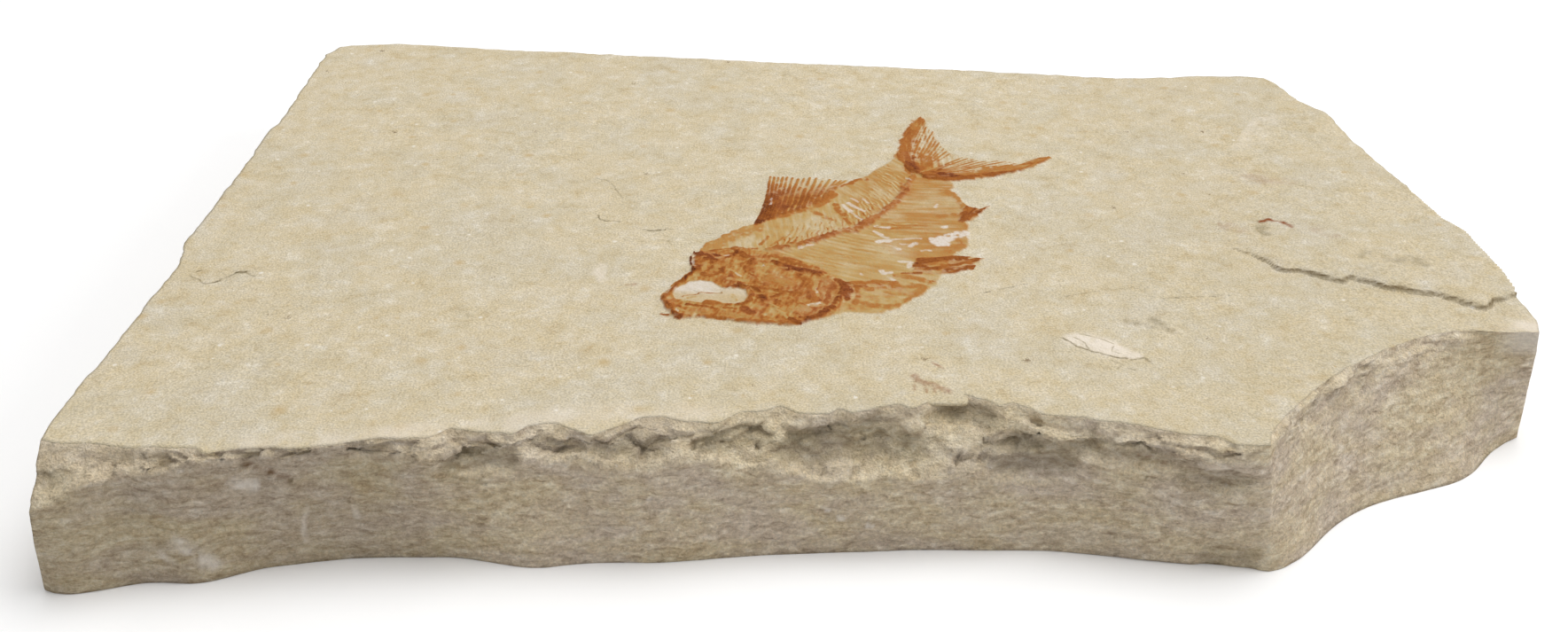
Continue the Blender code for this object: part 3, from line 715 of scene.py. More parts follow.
DORSAL_RAYS = [[(-11.9, -7.6), (-10.9, -3.2), (-10.2, 2.0), (-9.7, 10.3)],
               [(-10.7, -6.6), (-9.6, -2.0), (-8.9, 3.0), (-8.3, 10.2)],
               [(-9.3, -5.4), (-8.3, -1.0), (-7.5, 4.0), (-6.8, 10.3)],
               [(-7.4, -4.0), (-6.5, 0.0), (-5.8, 4.6), (-4.9, 9.4)],
               [(-5.2, -2.6), (-4.5, 0.8), (-3.9, 4.8), (-2.9, 10.0)],
               [(-3.2, -1.2), (-2.5, 2.2), (-1.6, 5.6), (-0.6, 9.6)],
               [(-1.2, 0.6), (-0.4, 3.4), (0.5, 6.2), (1.6, 8.8)],
               [(0.4, 2.8), (1.0, 4.8), (1.9, 6.8), (3.2, 8.6)]]

# Half widths of the backbone and of the fin rays, point by point, and the length of one vertebra.
SPINE_WIDTHS = (0.9, 1.1, 1.2, 1.2, 1.25, 1.6, 1.6, 1.3, 1.25, 1.2, 1.0, 0.8)
DORSAL_WIDTHS = (0.66, 0.6, 0.58, 0.42)
TAIL_WIDTHS = (0.46, 0.46, 0.48, 0.46, 0.4, 0.26)
VERTEBRA = 1.25

# Thin bones that spring from the backbone: the gap at their roots in millimetres, the shares of the
# backbone that the first and last spring from, how many, the first and last heading, the first and last
# length in millimetres, then tone and strength.
FLANK_BONES = [
    (0.5, 0.03, 0.97, 30, (0.35, 0.93), (-0.62, 0.78), 8.0, 8.5, 0.46, 0.60),
    (0.5, 0.05, 0.95, 29, (0.35, 0.93), (-0.62, 0.78), 7.0, 8.0, 0.04, 0.62),
    (0.3, 0.02, 0.60, 22, (0.30, 0.95), (-0.40, 0.9), 2.8, 3.4, 0.66, 0.72),
    (0.5, 0.0, 0.52, 18, (0.84, -0.54), (0.99, -0.12), 15.0, 11.0, 0.42, 0.52),
    (0.5, 0.02, 0.5, 17, (0.84, -0.54), (0.99, -0.12), 13.0, 10.0, 0.10, 0.5),
    (0.5, 0.54, 0.97, 16, (1.0, -0.12), (0.9, 0.25), 9.0, 5.0, 0.44, 0.42),
]

# Marks on the bone: tone (0 palest to 1 darkest), lift in millimetres, half width, then the line.
HEAD_MARKS = [
    (0.86, 0.10, 1.5, [(-20.6, -17.6), (-19.6, -18.8), (-18.4, -20.2)]),
    (0.74, 0.10, 0.9, [(-14.9, -15.9), (-14.3, -17.4), (-13.0, -19.0)]),
    (0.72, 0.08, 0.5, [(-18.6, -16.6), (-16.6, -16.1), (-14.0, -15.8), (-11.6, -16.0)]),
    (0.88, 0.06, 0.5, [(-18.4, -18.0), (-17.2, -18.6), (-16.2, -19.2), (-15.2, -18.5), (-14.7, -17.2)]),
    (0.34, 0.05, 0.8, [(-16.4, -17.2), (-15.6, -16.9)]),
    (0.98, 0.25, 0.28, [(-21.3, -17.2), (-21.7, -18.6), (-21.6, -20.6), (-21.3, -22.4), (-21.2, -23.6)]),
    (0.30, 0.05, 1.0, [(-19.3, -21.2), (-19.6, -22.8)]),
    (0.36, 0.05, 0.8, [(-17.5, -21.6), (-17.7, -23.0)]),
    (0.76, 0.12, 0.8, [(-20.9, -20.6), (-20.6, -22.6), (-20.2, -24.0), (-18.6, -24.7), (-17.2, -24.3),
                       (-16.9, -23.0)]),
    (0.97, 0.30, 0.62, [(-21.1, -23.4), (-21.8, -25.0), (-22.6, -26.6)]),
    (0.76, 0.28, 0.62, [(-22.6, -26.6), (-23.5, -27.9), (-24.2, -29.4), (-24.9, -31.2)]),
    (0.48, 0.10, 0.5, [(-22.0, -24.2), (-23.4, -26.4), (-24.7, -28.8), (-25.3, -30.8)]),
    (0.16, 0.02, 0.4, [(-20.9, -24.4), (-20.7, -26.0)]),
    (0.62, 0.15, 0.9, [(-25.1, -31.4), (-24.4, -33.0), (-23.8, -34.8), (-22.8, -36.4)]),
    (0.80, 0.10, 0.4, [(-24.6, -32.6), (-23.8, -34.4), (-23.4, -35.8)]),
    (0.88, 0.15, 0.9, [(-23.0, -36.0), (-22.4, -36.6)]),
    (0.72, 0.10, 0.45, [(-25.0, -35.8), (-24.3, -36.2)]),
    (0.70, 0.15, 1.0, [(-18.8, -32.9), (-17.2, -32.9)]),
    (0.72, 0.20, 0.6, [(-13.8, -28.2), (-12.5, -29.0), (-12.1, -30.6), (-12.4, -32.4), (-13.6, -33.5),
                       (-16.0, -33.6)]),
    (0.82, 0.22, 0.45, [(-16.7, -29.7), (-15.7, -28.8), (-14.6, -28.0), (-13.2, -28.1), (-11.8, -28.5),
                        (-10.9, -29.6)]),
    (0.70, 0.10, 0.5, [(-12.0, -28.3), (-9.6, -29.0), (-7.6, -29.6), (-5.0, -30.0)]),
    (0.88, 0.10, 1.0, [(-10.5, -30.6), (-10.3, -32.2)]),
    (0.74, 0.06, 0.6, [(-9.2, -31.2), (-7.9, -30.4)]),
    (0.48, 0.10, 2.6, [(-9.4, -26.0), (-6.6, -26.8)]),
    (0.40, 0.05, 1.1, [(-8.0, -26.4), (-6.4, -27.2)]),
    (0.84, 0.14, 1.0, [(-9.0, -20.4), (-6.6, -22.0), (-4.4, -23.0), (-1.8, -24.4)]),
    (0.92, 0.05, 0.7, [(-7.0, -22.6), (-5.0, -22.9)]),
    (0.66, 0.08, 0.6, [(-9.6, -18.6), (-7.0, -19.8), (-4.4, -21.4), (-1.0, -24.0)]),
    (0.36, 0.02, 0.45, [(-8.4, -21.9), (-7.0, -22.3)]),
    (0.44, 0.05, 0.7, [(-1.4, -25.0), (0.2, -27.4)]),
    (0.28, 0.02, 0.5, [(-2.6, -26.8), (-2.7, -29.0), (-2.4, -31.0)]),
    (0.60, 0.05, 0.5, [(-3.6, -25.4), (-3.6, -28.0), (-3.2, -30.4), (-2.6, -33.0)]),
    (0.82, 0.16, 0.8, [(1.0, -26.6), (1.7, -28.4), (1.1, -30.5), (0.4, -32.5), (-0.6, -34.6),
                       (-2.4, -36.4), (-4.2, -37.3)]),
    (0.99, 0.10, 0.7, [(-4.8, -37.2), (-3.8, -37.4)]),
    (0.66, 0.05, 0.7, [(0.0, -27.0), (-0.6, -30.0), (-1.2, -33.0)]),
    (0.64, 0.10, 0.7, [(-5.6, -38.6), (-8.0, -38.4), (-12.6, -38.0), (-16.0, -37.2), (-18.5, -36.6)]),
    (0.82, 0.05, 0.8, [(-5.4, -38.4), (-6.6, -37.4)]),
    (0.18, 0.02, 1.1, [(-3.2, -33.6), (-2.0, -33.4)]),
    (0.30, 0.02, 1.0, [(-5.0, -34.2), (-3.8, -35.0)]),
    (0.76, 0.06, 1.3, [(-13.2, -34.6), (-12.2, -35.8)]),
    (0.46, 0.04, 1.0, [(-20.4, -35.6), (-18.4, -35.9)]),
    (0.40, 0.04, 0.9, [(-14.8, -36.6), (-13.4, -36.7)]),
    (0.20, 0.05, 0.35, [(-8.5, -34.4), (-7.7, -35.8), (-7.0, -37.2)]),
    (0.24, 0.05, 0.35, [(-9.4, -33.0), (-8.2, -34.2)]),
    (0.24, 0.04, 0.4, [(-15.4, -23.2), (-14.4, -24.2), (-13.8, -24.9)]),
    (0.26, 0.02, 0.9, [(-15.6, -26.0), (-13.2, -26.2)]),
    (0.80, 0.10, 0.4, [(-16.4, -22.4), (-16.6, -23.8)]),
    (0.70, 0.04, 0.5, [(-12.6, -24.0), (-11.6, -25.6), (-10.8, -27.4)]),
    (0.74, 0.06, 0.5, [(-21.4, -33.6), (-19.6, -33.9), (-17.0, -34.4), (-14.4, -34.6)]),
    (0.28, 0.04, 0.35, [(-22.9, -34.6), (-21.6, -35.2)]),
    (0.30, 0.04, 0.35, [(-17.4, -34.0), (-15.8, -35.4)]),
]
BODY_MARKS = [
    (0.40, 0.02, 3.4, [(-19.5, -15.0), (-15.5, -10.8), (-12.5, -8.6)]),
    (0.76, 0.08, 0.9, [(0.8, -26.0), (2.2, -27.4), (4.6, -27.7)]),
    (0.80, 0.08, 1.1, [(2.2, -27.2), (2.4, -29.4), (1.9, -31.4)]),
    (0.60, 0.05, 0.9, [(3.6, -28.4), (3.6, -31.0), (2.6, -34.2)]),
    (0.58, 0.05, 1.2, [(3.0, -26.8), (6.0, -26.4), (9.4, -26.8)]),
    (0.52, 0.03, 1.0, [(4.8, -28.6), (7.0, -28.0), (9.8, -27.6)]),
    (0.50, 0.03, 1.1, [(11.6, -27.6), (13.4, -28.0), (11.6, -31.2), (9.4, -33.4)]),
    (0.52, 0.03, 1.0, [(3.6, -32.4), (5.4, -33.4), (8.4, -33.6)]),
    (0.66, 0.03, 0.3, [(14.2, -26.2), (15.6, -26.4), (16.6, -26.6)]),
    (0.50, 0.02, 1.0, [(9.6, -24.4), (12.6, -25.4), (14.4, -26.6)]),
    (0.62, 0.08, 1.2, [(1.6, 6.2), (2.6, 7.2), (4.0, 7.6)]),
    (0.60, 0.08, 0.9, [(4.4, 8.4), (5.6, 9.4), (6.6, 9.2)]),
    (0.55, 0.06, 1.3, [(-9.4, -5.6), (-6.6, -3.8), (-4.0, -2.6), (-0.6, 0.4), (1.0, 3.4)]),
    (0.55, 0.04, 0.9, [(-3.0, -2.4), (-1.6, -4.0), (0.2, -6.0)]),
    (0.58, 0.04, 0.9, [(1.2, -0.6), (1.4, -2.6), (2.6, -4.6)]),
    (0.58, 0.04, 0.6, [(2.4, -5.6), (3.2, -7.6)]),
    (0.48, 0.03, 1.0, [(-20.2, -14.8), (-18.4, -12.8)]),
    (0.46, 0.03, 1.0, [(-17.0, -11.6), (-15.4, -10.6), (-14.0, -10.8)]),
    (0.46, 0.03, 0.9, [(-12.0, -8.6), (-11.2, -9.8)]),
    (0.56, 0.03, 0.5, [(-11.0, -14.6), (-9.8, -12.0)]),
    (0.50, 0.03, 0.4, [(-9.4, -14.8), (-7.4, -12.2)]),
    (0.56, 0.04, 0.8, [(13.4, 13.4), (14.6, 11.4)]),
    (0.56, 0.03, 0.9, [(12.6, 7.4), (13.0, 6.0)]),
    (0.48, 0.02, 1.2, [(19.6, 5.2), (21.6, 2.0), (22.4, -0.8), (21.8, -4.0)]),
    (0.50, 0.02, 1.3, [(18.0, -4.6), (20.6, -4.4)]),
    (0.52, 0.02, 0.35, [(8.4, -7.6), (11.6, -8.1), (15.4, -8.3)]),
    (0.54, 0.02, 0.35, [(7.2, -8.9), (9.6, -9.1), (12.8, -8.8)]),
    (0.50, 0.02, 0.8, [(20.0, -12.8), (20.6, -14.6), (18.8, -16.4)]),
]
# Marks on the tail: tone, half width, line.
TAIL_MARKS = [
    (0.74, (0.9, 1.3, 1.2, 1.0, 0.5), [(17.0, 10.2), (20.4, 10.4), (24.0, 10.0), (28.0, 10.9), (31.0, 12.2)]),
    (0.86, 1.5, [(20.0, 11.3), (21.6, 10.8)]), (0.50, 1.7, [(26.0, 13.0), (33.4, 14.6)]),
    (0.52, 0.9, [(36.6, 16.4), (39.4, 18.0)]), (0.84, 0.8, [(15.8, 12.0), (14.8, 14.4), (14.2, 16.2)]),
    (0.80, 0.6, [(15.4, 15.0), (15.5, 18.0)]), (0.60, 0.9, [(13.4, 17.0), (13.6, 22.0), (14.4, 26.0)]),
    (0.52, 1.0, [(16.4, 31.0), (16.8, 34.6)]), (0.76, 0.6, [(18.4, 12.0), (20.0, 13.6)]),
]
# Marks on the pelvic and anal fins, white mineral, one painted highlight along the skull's front edge and
# red-brown patches: half width, line.
FIN_MARKS = [
    (1.1, [(13.0, -21.6), (15.0, -22.9), (18.6, -22.8), (21.0, -21.8), (23.2, -21.0)]),
    (0.9, [(13.8, -20.6), (15.0, -19.8), (18.2, -19.2), (20.6, -19.0)]),
    (0.5, [(10.6, -24.0), (13.6, -23.8)]),
    ((0.8, 0.8, 0.3), [(21.3, -6.8), (22.6, -4.8), (26.3, -1.3)]), (0.5, [(22.0, -4.6), (22.8, -1.4)]),
]
CHALK_AND_HIGHLIGHT_MARKS = [
    (1.7, [(17.0, -13.6), (18.4, -12.2), (19.6, -11.4), (21.2, -10.9)]),
    (1.0, [(17.0, -14.4), (18.2, -14.4)]), (0.7, [(16.2, -12.6), (16.4, -14.0)]),
    (0.35, [(21.6, -11.6), (22.2, -12.4)]), (0.75, [(18.2, -8.7), (18.7, -8.5)]),
    (0.55, [(7.6, -8.2), (9.4, -8.7)]), (0.5, [(7.2, -10.2), (8.8, -12.2)]),
    (0.8, [(7.6, -13.6), (9.2, -13.2)]), (0.34, [(9.8, -12.8), (12.4, -12.6), (14.2, -12.8)]),
    (0.55, [(9.8, -15.0), (10.8, -16.0)]), (0.6, [(12.4, -15.0), (13.4, -14.2)]),
    (0.3, [(10.8, -14.2), (12.0, -14.6)]), (0.4, [(14.2, -16.6), (15.6, -16.2)]),
    (0.45, [(10.4, -19.9), (12.4, -20.3)]), (0.5, [(12.0, -20.8), (11.8, -21.8)]),
    (0.6, [(7.3, -22.8), (7.9, -23.9), (8.8, -23.4)]), (0.45, [(8.2, -24.8), (9.3, -25.8)]),
    (0.3, [(4.2, -23.6), (4.6, -24.0)]), (0.4, [(17.7, -1.4), (18.1, -0.5)]),
    # The second mark on the next line, along the skull's front edge, is a painted highlight, not white
    # mineral.
    (0.24, [(-16.7, -18.4), (-16.1, -18.3)]), (0.24, [(-21.3, -20.0), (-21.15, -20.9), (-20.95, -21.9)]),
    (0.6, [(2.2, -0.6), (3.6, -3.2)]), (0.5, [(3.2, 0.1), (4.4, -1.6), (5.8, -3.0)]),
    (0.4, [(4.0, -3.8), (5.2, -6.2)]), (0.3, [(3.9, 1.9), (4.8, 0.5)]), (0.3, [(5.8, 1.6), (6.8, 0.0)]),
    (0.25, [(13.7, 9.6), (14.3, 8.4)]), (0.28, [(-9.4, 1.4), (-9.7, -0.6)]),
    (0.35, [(-5.0, -15.6), (-2.8, -14.8)]), (0.5, [(-3.4, -33.6), (-2.2, -33.2)]),
    (0.22, [(-14.8, -24.0), (-13.9, -24.8)]), (0.2, [(-10.4, -21.2), (-10.2, -21.6)]),
    (0.3, [(-2.4, -28.6), (-2.6, -29.8)]), (0.25, [(-22.9, -34.8), (-22.6, -35.2)]),
]
ROSE_MARKS = [
    (2.6, [(9.6, -14.6), (11.8, -17.6)]),
    (1.2, [(-3.4, -14.0), (2.0, -10.4), (6.4, -6.6), (11.4, 0.4), (14.0, 7.0)]),
    (2.4, [(-1.0, -27.0), (-1.2, -33.0), (-4.0, -35.6)]), (1.6, [(-7.0, -22.2), (-2.2, -23.6)]),
    (2.0, [(-20.0, -18.0), (-17.4, -19.0)]), (1.6, [(-12.6, -35.0), (-11.0, -36.0)]),
    (1.4, [(19.6, 11.4), (21.8, 10.6)]), (1.2, [(14.2, 20.0), (14.8, 15.0), (15.8, 12.0)]),
    (1.6, [(-8.6, 3.6), (-7.4, -2.0)]), (1.4, [(-9.0, -16.6), (-7.0, -16.4)]),
    (1.3, [(2.0, -28.6), (1.6, -31.0)]),
]
# Marks in the eye socket: tone, lift in millimetres, half width, line.
ORBIT_MARKS = [
    (0.75, 0.02, 0.25, [(-22.4, -30.9), (-21.0, -30.2), (-19.6, -29.7), (-18.2, -29.95), (-16.6, -29.8)]),
    (0.34, 0.0, 0.5, [(-21.6, -31.2), (-20.6, -30.9)]),
    (0.30, 0.0, 0.6, [(-14.9, -30.4), (-14.6, -31.8)]),
]


def nearness(flat, line, half_width):
    """1 on a broken line, easing to 0 at its half width, which may differ at each of its points."""
    line = np.asarray(line, dtype=float)
    widths = np.broadcast_to(half_width, len(line))
    value = np.zeros(len(flat))
    reach = widths.max()
    close = np.all((flat > line.min(axis=0) - reach) & (flat < line.max(axis=0) + reach), axis=1)
    spot = flat[close]
    peak = np.zeros(len(spot))
    for start, end, wide, wide_end in zip(line, line[1:], widths, widths[1:]):
        run = end - start
        share = np.clip((spot - start) @ run / (run @ run), 0, 1)
        away = np.linalg.norm(spot - start - share[:, None] * run, axis=1)
        peak = np.maximum(peak, 1 - away / (wide + (wide_end - wide) * share))
    value[close] = eased(peak, 0, 0.8)
    return value


def depth_inside(flat, outline):
    """Distance of each point from a closed outline: positive inside it, negative outside."""
    line = np.asarray(outline, dtype=float)
    nearest = np.full(len(flat), np.inf)
    crossings = np.zeros(len(flat), dtype=int)
    for start, end in zip(line, np.roll(line, -1, axis=0)):
        run = end - start
        share = np.clip((flat - start) @ run / (run @ run), 0, 1)
        nearest = np.minimum(nearest, np.linalg.norm(flat - start - share[:, None] * run, axis=1))
        spans = (start[1] > flat[:, 1]) != (end[1] > flat[:, 1])
        slope = run[0] / run[1] if run[1] else 0.0
        crossings += spans & (flat[:, 0] < start[0] + (flat[:, 1] - start[1]) * slope)
    return np.where(crossings % 2 == 1, nearest, -nearest)


def fibres(flat, heading, length, width, seed):
    """Noise from -1 to 1 drawn out along a heading, as fine bones and crushed scales lie."""
    way = np.array(heading) / np.hypot(*heading)
    turned = np.column_stack([flat @ way / length, flat @ (-way[1], way[0]) / width, np.zeros(len(flat))])
    return rough(turned, 1.0, seed, 2)


def rays_between(keys, extra):
    """Key rays and extra ones spaced between each two neighbours, point by point."""
    keys = np.array(keys, dtype=float)
    wanted = np.linspace(0, len(keys) - 1, (len(keys) - 1) * (extra + 1) + 1)
    below = np.minimum(wanted.astype(int), len(keys) - 2)
    share = (wanted - below)[:, None, None]
    return keys[below] * (1 - share) + keys[below + 1] * share


def bones_along(gap, first, last, count, heading, heading_end, length, length_end):
    """Thin bones from evenly spaced points of the backbone, their heading and length changing evenly."""
    line = resampled(BACKBONE, 200)
    chosen = np.linspace(first, last, count)
    roots = line[(chosen * (len(line) - 1)).astype(int)]
    share = np.linspace(0, 1, count)[:, None]
    way = np.array(heading) * (1 - share) + np.array(heading_end) * share
    way /= np.linalg.norm(way, axis=1)[:, None]
    reach = length * (1 - share) + length_end * share
    bend = np.column_stack([way[:, 1], -way[:, 0]]) * reach * 0.05
    return np.stack([roots + way * gap, roots + way * reach * 0.5 + bend, roots + way * reach], axis=1)


def fish_coat(flat):
    """What covers the bedding plane at each point, as named fields, and its lift in millimetres.

    cover is how far bone hides the stone, tone how dark the bone is, rose how far it turns from orange to
    red-brown and chalk how far white mineral replaces it, with a painted highlight along the skull's front
    edge laid in the same field. Each region starts from its own tone with noise drawn out along its bones;
    then every bone, ray and mark is laid on it by its nearness, with edges broken up by fine noise.
    """
    still = on_plane(flat)
    crumbs, medium, blots = rough(still, 0.7, 171, 2), rough(still, 1.7, 175), rough(still, 4.5, 91)
    bent = flat + 0.3 * drift(still, 1.2, (151, 155), 2)
    straight = flat + 0.25 * (bent - flat)
    ragged = 0.4 * medium + 0.2 * crumbs
    patchy = np.clip(0.85 + 0.5 * rough(still, 1.3, 103), 0.2, 1.0)

    def within(outline, soft=0.5):
        """1 inside a closed outline, easing to 0 at its ragged edge."""
        return eased(depth_inside(flat, outline) + ragged, -0.1, soft)

    head = depth_inside(flat, HEAD_LINE)
    in_head = eased(head + 0.5 * ragged, -0.2, 0.5)
    body = within(BODY_LINE)
    line = np.array(BACKBONE)
    above = eased(flat[:, 1] - np.interp(flat[:, 0], line[:, 0], line[:, 1]), -0.5, 0.5)
    behind = eased(flat[:, 0] + 0.6 * flat[:, 1], 1.0, 7.0)
    grain = (above * (behind * fibres(flat, (-0.6, 0.8), 3.0, 0.4, 81)
                      + (1 - behind) * fibres(flat, (-0.1, 1.0), 2.6, 0.4, 81))
             + (1 - above) * (behind * fibres(flat, (1.0, -0.05), 4.0, 0.5, 85)
                              + (1 - behind) * fibres(flat, (0.93, -0.37), 6.0, 0.5, 83)))
    tone = (0.20 + 0.12 * behind + 0.05 * (1 - above) + (0.06 + 0.04 * above) * grain
            + 0.12 * blots + 0.07 * medium)
    plates = facets(on_plane(bent), (1.7, 1.3, 1.0), 179)
    head_tone = (0.50 + 0.20 * rough(still, 2.2, 95, 2) + 0.15 * plates
                 + 0.26 * fibres(flat, (0.25, 1.0), 1.3, 0.42, 97) + 0.14 * crumbs)
    tone = tone * (1 - in_head) + head_tone * in_head
    cover = body * np.clip(0.92 + 0.25 * blots + 0.3 * grain, 0, 1) * (1 - in_head) + body * in_head
    lift = body * (0.10 + 0.05 * grain + eased(head, 0.0, 1.2) * (0.18 + 0.08 * medium + 0.07 * plates))
    chalk_and_highlight, rose = np.zeros(len(flat)), 0.25 * in_head * eased(medium, 0.0, 0.5)

    def lay(near, new_tone, height, cut=0.5, broken=0.8):
        """Lays a bone on by its nearness: it starts at the cut, its edge broken up by the crumbs."""
        nonlocal tone, cover, lift
        near = eased(near * (1 + broken * crumbs) * patchy, cut - 0.25, cut + 0.35)
        tone = tone + (new_tone - tone) * near
        cover = np.maximum(cover, near)
        lift = lift + near * height

    throat = within(THROAT_LINE, 0.6) * (1 - in_head)
    tone = tone + throat * (0.32 + 0.26 * rough(still, 2.0, 107) + 0.14 * crumbs - tone)

    side = body * (1 - in_head)
    for *run, new_tone, strength in FLANK_BONES:
        for bone in bones_along(*run):
            lay(nearness(bent, bone, (0.34, 0.3, 0.18)) * strength * side, new_tone, 0.04, 0.40)
    for new_tone, height, wide, mark in BODY_MARKS:
        lay(nearness(bent, mark, wide) * body, new_tone, height, 0.4)
    beads = 0.85 + 0.15 * np.sin(2 * np.pi * (flat @ (0.66, 0.75)) / VERTEBRA)
    spine = nearness(bent, BACKBONE, SPINE_WIDTHS)
    lay(spine * beads, 0.60 + 0.2 * medium + 0.1 * crumbs, 0.24, 0.33)
    for new_tone, height, wide, mark in HEAD_MARKS:
        lay(nearness(bent, mark, wide), 0.06 + 0.88 * new_tone + 0.1 * crumbs, height, 0.42)

    dorsal = within(DORSAL_LINE)
    rise = eased(flat[:, 1] - 0.15 * flat[:, 0], 10.0, 2.5)
    cover = np.maximum(cover, dorsal * (0.3 + 0.7 * rise))
    tone = np.where(dorsal > body, 0.16 + 0.30 * rise + 0.14 * medium, tone)
    for number, ray in enumerate(rays_between(DORSAL_RAYS, 1)):
        near = nearness(straight, ray, DORSAL_WIDTHS) * (0.92 + 0.14 * np.sin(2.4 * number))
        lay(near, 0.84 - 0.015 * number - 0.26 * (1 - rise) + 0.12 * medium, 0.16, 0.36, 0.35)

    tail = within(TAIL_LINE)
    from_root = np.hypot(flat[:, 0] - 15.5, flat[:, 1] - 12.0)
    lobes = np.maximum(nearness(flat, UPPER_RAYS[0], 3.4),
                       nearness(flat, LOWER_RAYS[4], (2.0, 3.2, 3.4, 3.4, 3.0, 1.6)))
    web = np.maximum(eased(lobes, 0.1, 0.7), eased(from_root, 8.0, 3.5))
    streaks = np.where(flat[:, 1] > 0.3 * flat[:, 0] + 8.5, fibres(flat, (0.0, 1.0), 4.5, 0.42, 127),
                       fibres(flat, (1.0, 0.2), 4.5, 0.42, 129))
    cover = np.maximum(cover, tail * np.clip(0.3 + 0.75 * web + 0.4 * streaks * (1 - 0.6 * web), 0, 1))
    tone = np.where(tail > body, 0.18 + 0.25 * web + 0.12 * medium + 0.3 * streaks, tone)
    for fan, leading in ((rays_between(UPPER_RAYS, 2), 0), (rays_between(LOWER_RAYS, 2), 15)):
        for number, ray in enumerate(fan):
            dark = 0.66 - 0.14 * min(abs(number - leading) / 9, 1)
            near = nearness(straight, ray, TAIL_WIDTHS) * (0.86 + 0.2 * np.sin(2.4 * number))
            new_tone = dark + 0.10 * (1 - eased(from_root, 3.0, 9.0)) + 0.08 * medium
            lay(near * tail * (0.98 + 0.45 * streaks), new_tone, 0.10, 0.36, 0.3)
    for new_tone, wide, mark in TAIL_MARKS:
        lay(nearness(bent, mark, wide) * (0.97 + 0.45 * streaks), new_tone, 0.06, 0.42)

    for outline, spread, seed in ((PELVIC_LINE, (0.97, 0.22), 121), (ANAL_LINE, (0.62, 0.78), 125)):
        fin = within(outline, 0.4)
        strands = fibres(bent, spread, 5.0, 0.7, seed)
        tone = tone + (0.66 + 0.5 * strands + 0.14 * crumbs - tone) * fin
        cover = np.maximum(cover, fin * np.clip(1.1 + 0.9 * strands, 0.5, 1))
        lift = lift + fin * (0.14 + 0.10 * strands)
    for wide, mark in FIN_MARKS:
        lay(nearness(bent, mark, wide), 0.76, 0.06, 0.42)

    for wide, mark in CHALK_AND_HIGHLIGHT_MARKS:
        near = nearness(bent, mark, wide * 1.15)
        flaked = eased(near * (1 + 0.6 * grain + 0.9 * crumbs), 0.2, 0.8)
        chalk_and_highlight = np.maximum(chalk_and_highlight, flaked * min(1, 0.35 + wide * 0.7))
    for wide, mark in ROSE_MARKS:
        rose = np.maximum(rose, 0.4 * nearness(bent, mark, wide) * patchy)
    orbit = eased(depth_inside(flat, ORBIT_LINE) + 0.5 * ragged, -0.05, 0.3)
    upper = eased(flat[:, 1] + 0.1 * flat[:, 0], -32.6, -30.6)
    tone = tone + (0.05 + 0.10 * (1 - upper) + 0.08 * medium - tone) * orbit
    cover = np.clip(cover, 0, 1 - 0.35 * orbit)
    paler = 1 - 0.6 * eased(flat[:, 0] + medium, -19.0, -16.5)
    chalk_and_highlight = np.maximum(chalk_and_highlight, orbit * (0.10 + 0.75 * upper * paler))
    rose = rose * (1 - orbit)
    lift = lift - 0.16 * orbit
    for new_tone, height, wide, mark in ORBIT_MARKS:
        near = nearness(bent, mark, wide)
        lay(near, new_tone, height)
        chalk_and_highlight = chalk_and_highlight * (1 - near)
    fields = {"cover": cover, "tone": tone, "chalk_and_highlight": chalk_and_highlight, "rose": rose}
    return {field: np.clip(values, 0, 1) for field, values in fields.items()}, lift


def film(name, regions, spacing, heading, coat, finish, excluded=None):
    """A thin closed sheet lying in the bedding plane, over the given outlines.

    A square grid turned to the heading is cut to the cells near the outlines. Its top follows the stone's
    relief plus the lift that its coat gives, and sinks out of sight past the outlines; its underside is
    flat. finish is the material, the record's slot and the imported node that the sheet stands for.
    """
    size = bpy.context.scene.fish_finish
    way = np.array(heading) / np.hypot(*heading)
    turn = np.array([way, (-way[1], way[0])])
    local = np.concatenate([np.array(region) for region in regions]) @ turn.T
    low, high = local.min(axis=0) - size.margin, local.max(axis=0) + size.margin
    steps = [np.arange(a, b + spacing, spacing) for a, b in zip(low, high)]
    grid = np.stack(np.meshgrid(*steps, indexing="ij"), axis=-1)
    flat = grid.reshape(-1, 2) @ turn
    depth = np.max([depth_inside(flat, region) for region in regions], axis=0)
    if excluded is not None:
        depth = np.minimum(depth, -depth_inside(flat, excluded))
    index = np.arange(len(flat)).reshape(grid.shape[:2])
    quads = grid_quads(index)
    quads = quads[np.all(depth[quads] > -size.margin, axis=1)]
    used, quads = np.unique(quads, return_inverse=True)
    quads = quads.reshape(-1, 4)
    flat, depth = flat[used], depth[used]
    fields, lift = coat(flat)
    sunk = size.sink * eased(-depth, 0.0, size.margin)
    top = on_plane(flat)
    top[:, 2] = top_relief(top) + size.clear + lift - sunk
    bottom = np.column_stack([flat, np.full(len(flat), size.underside)])
    starts, ends = quads.ravel(), np.roll(quads, -1, axis=1).ravel()
    free = ~np.isin(starts * len(used) + ends, ends * len(used) + starts)
    a, b = starts[free], ends[free]
    rim = np.column_stack([b, a, a + len(used), b + len(used)])
    faces = np.concatenate([quads, quads[:, ::-1] + len(used), rim])
    fields = {field: np.tile(values, 2) for field, values in fields.items()}
    new_piece(name, np.concatenate([top, bottom]), faces, [], finish, fields)


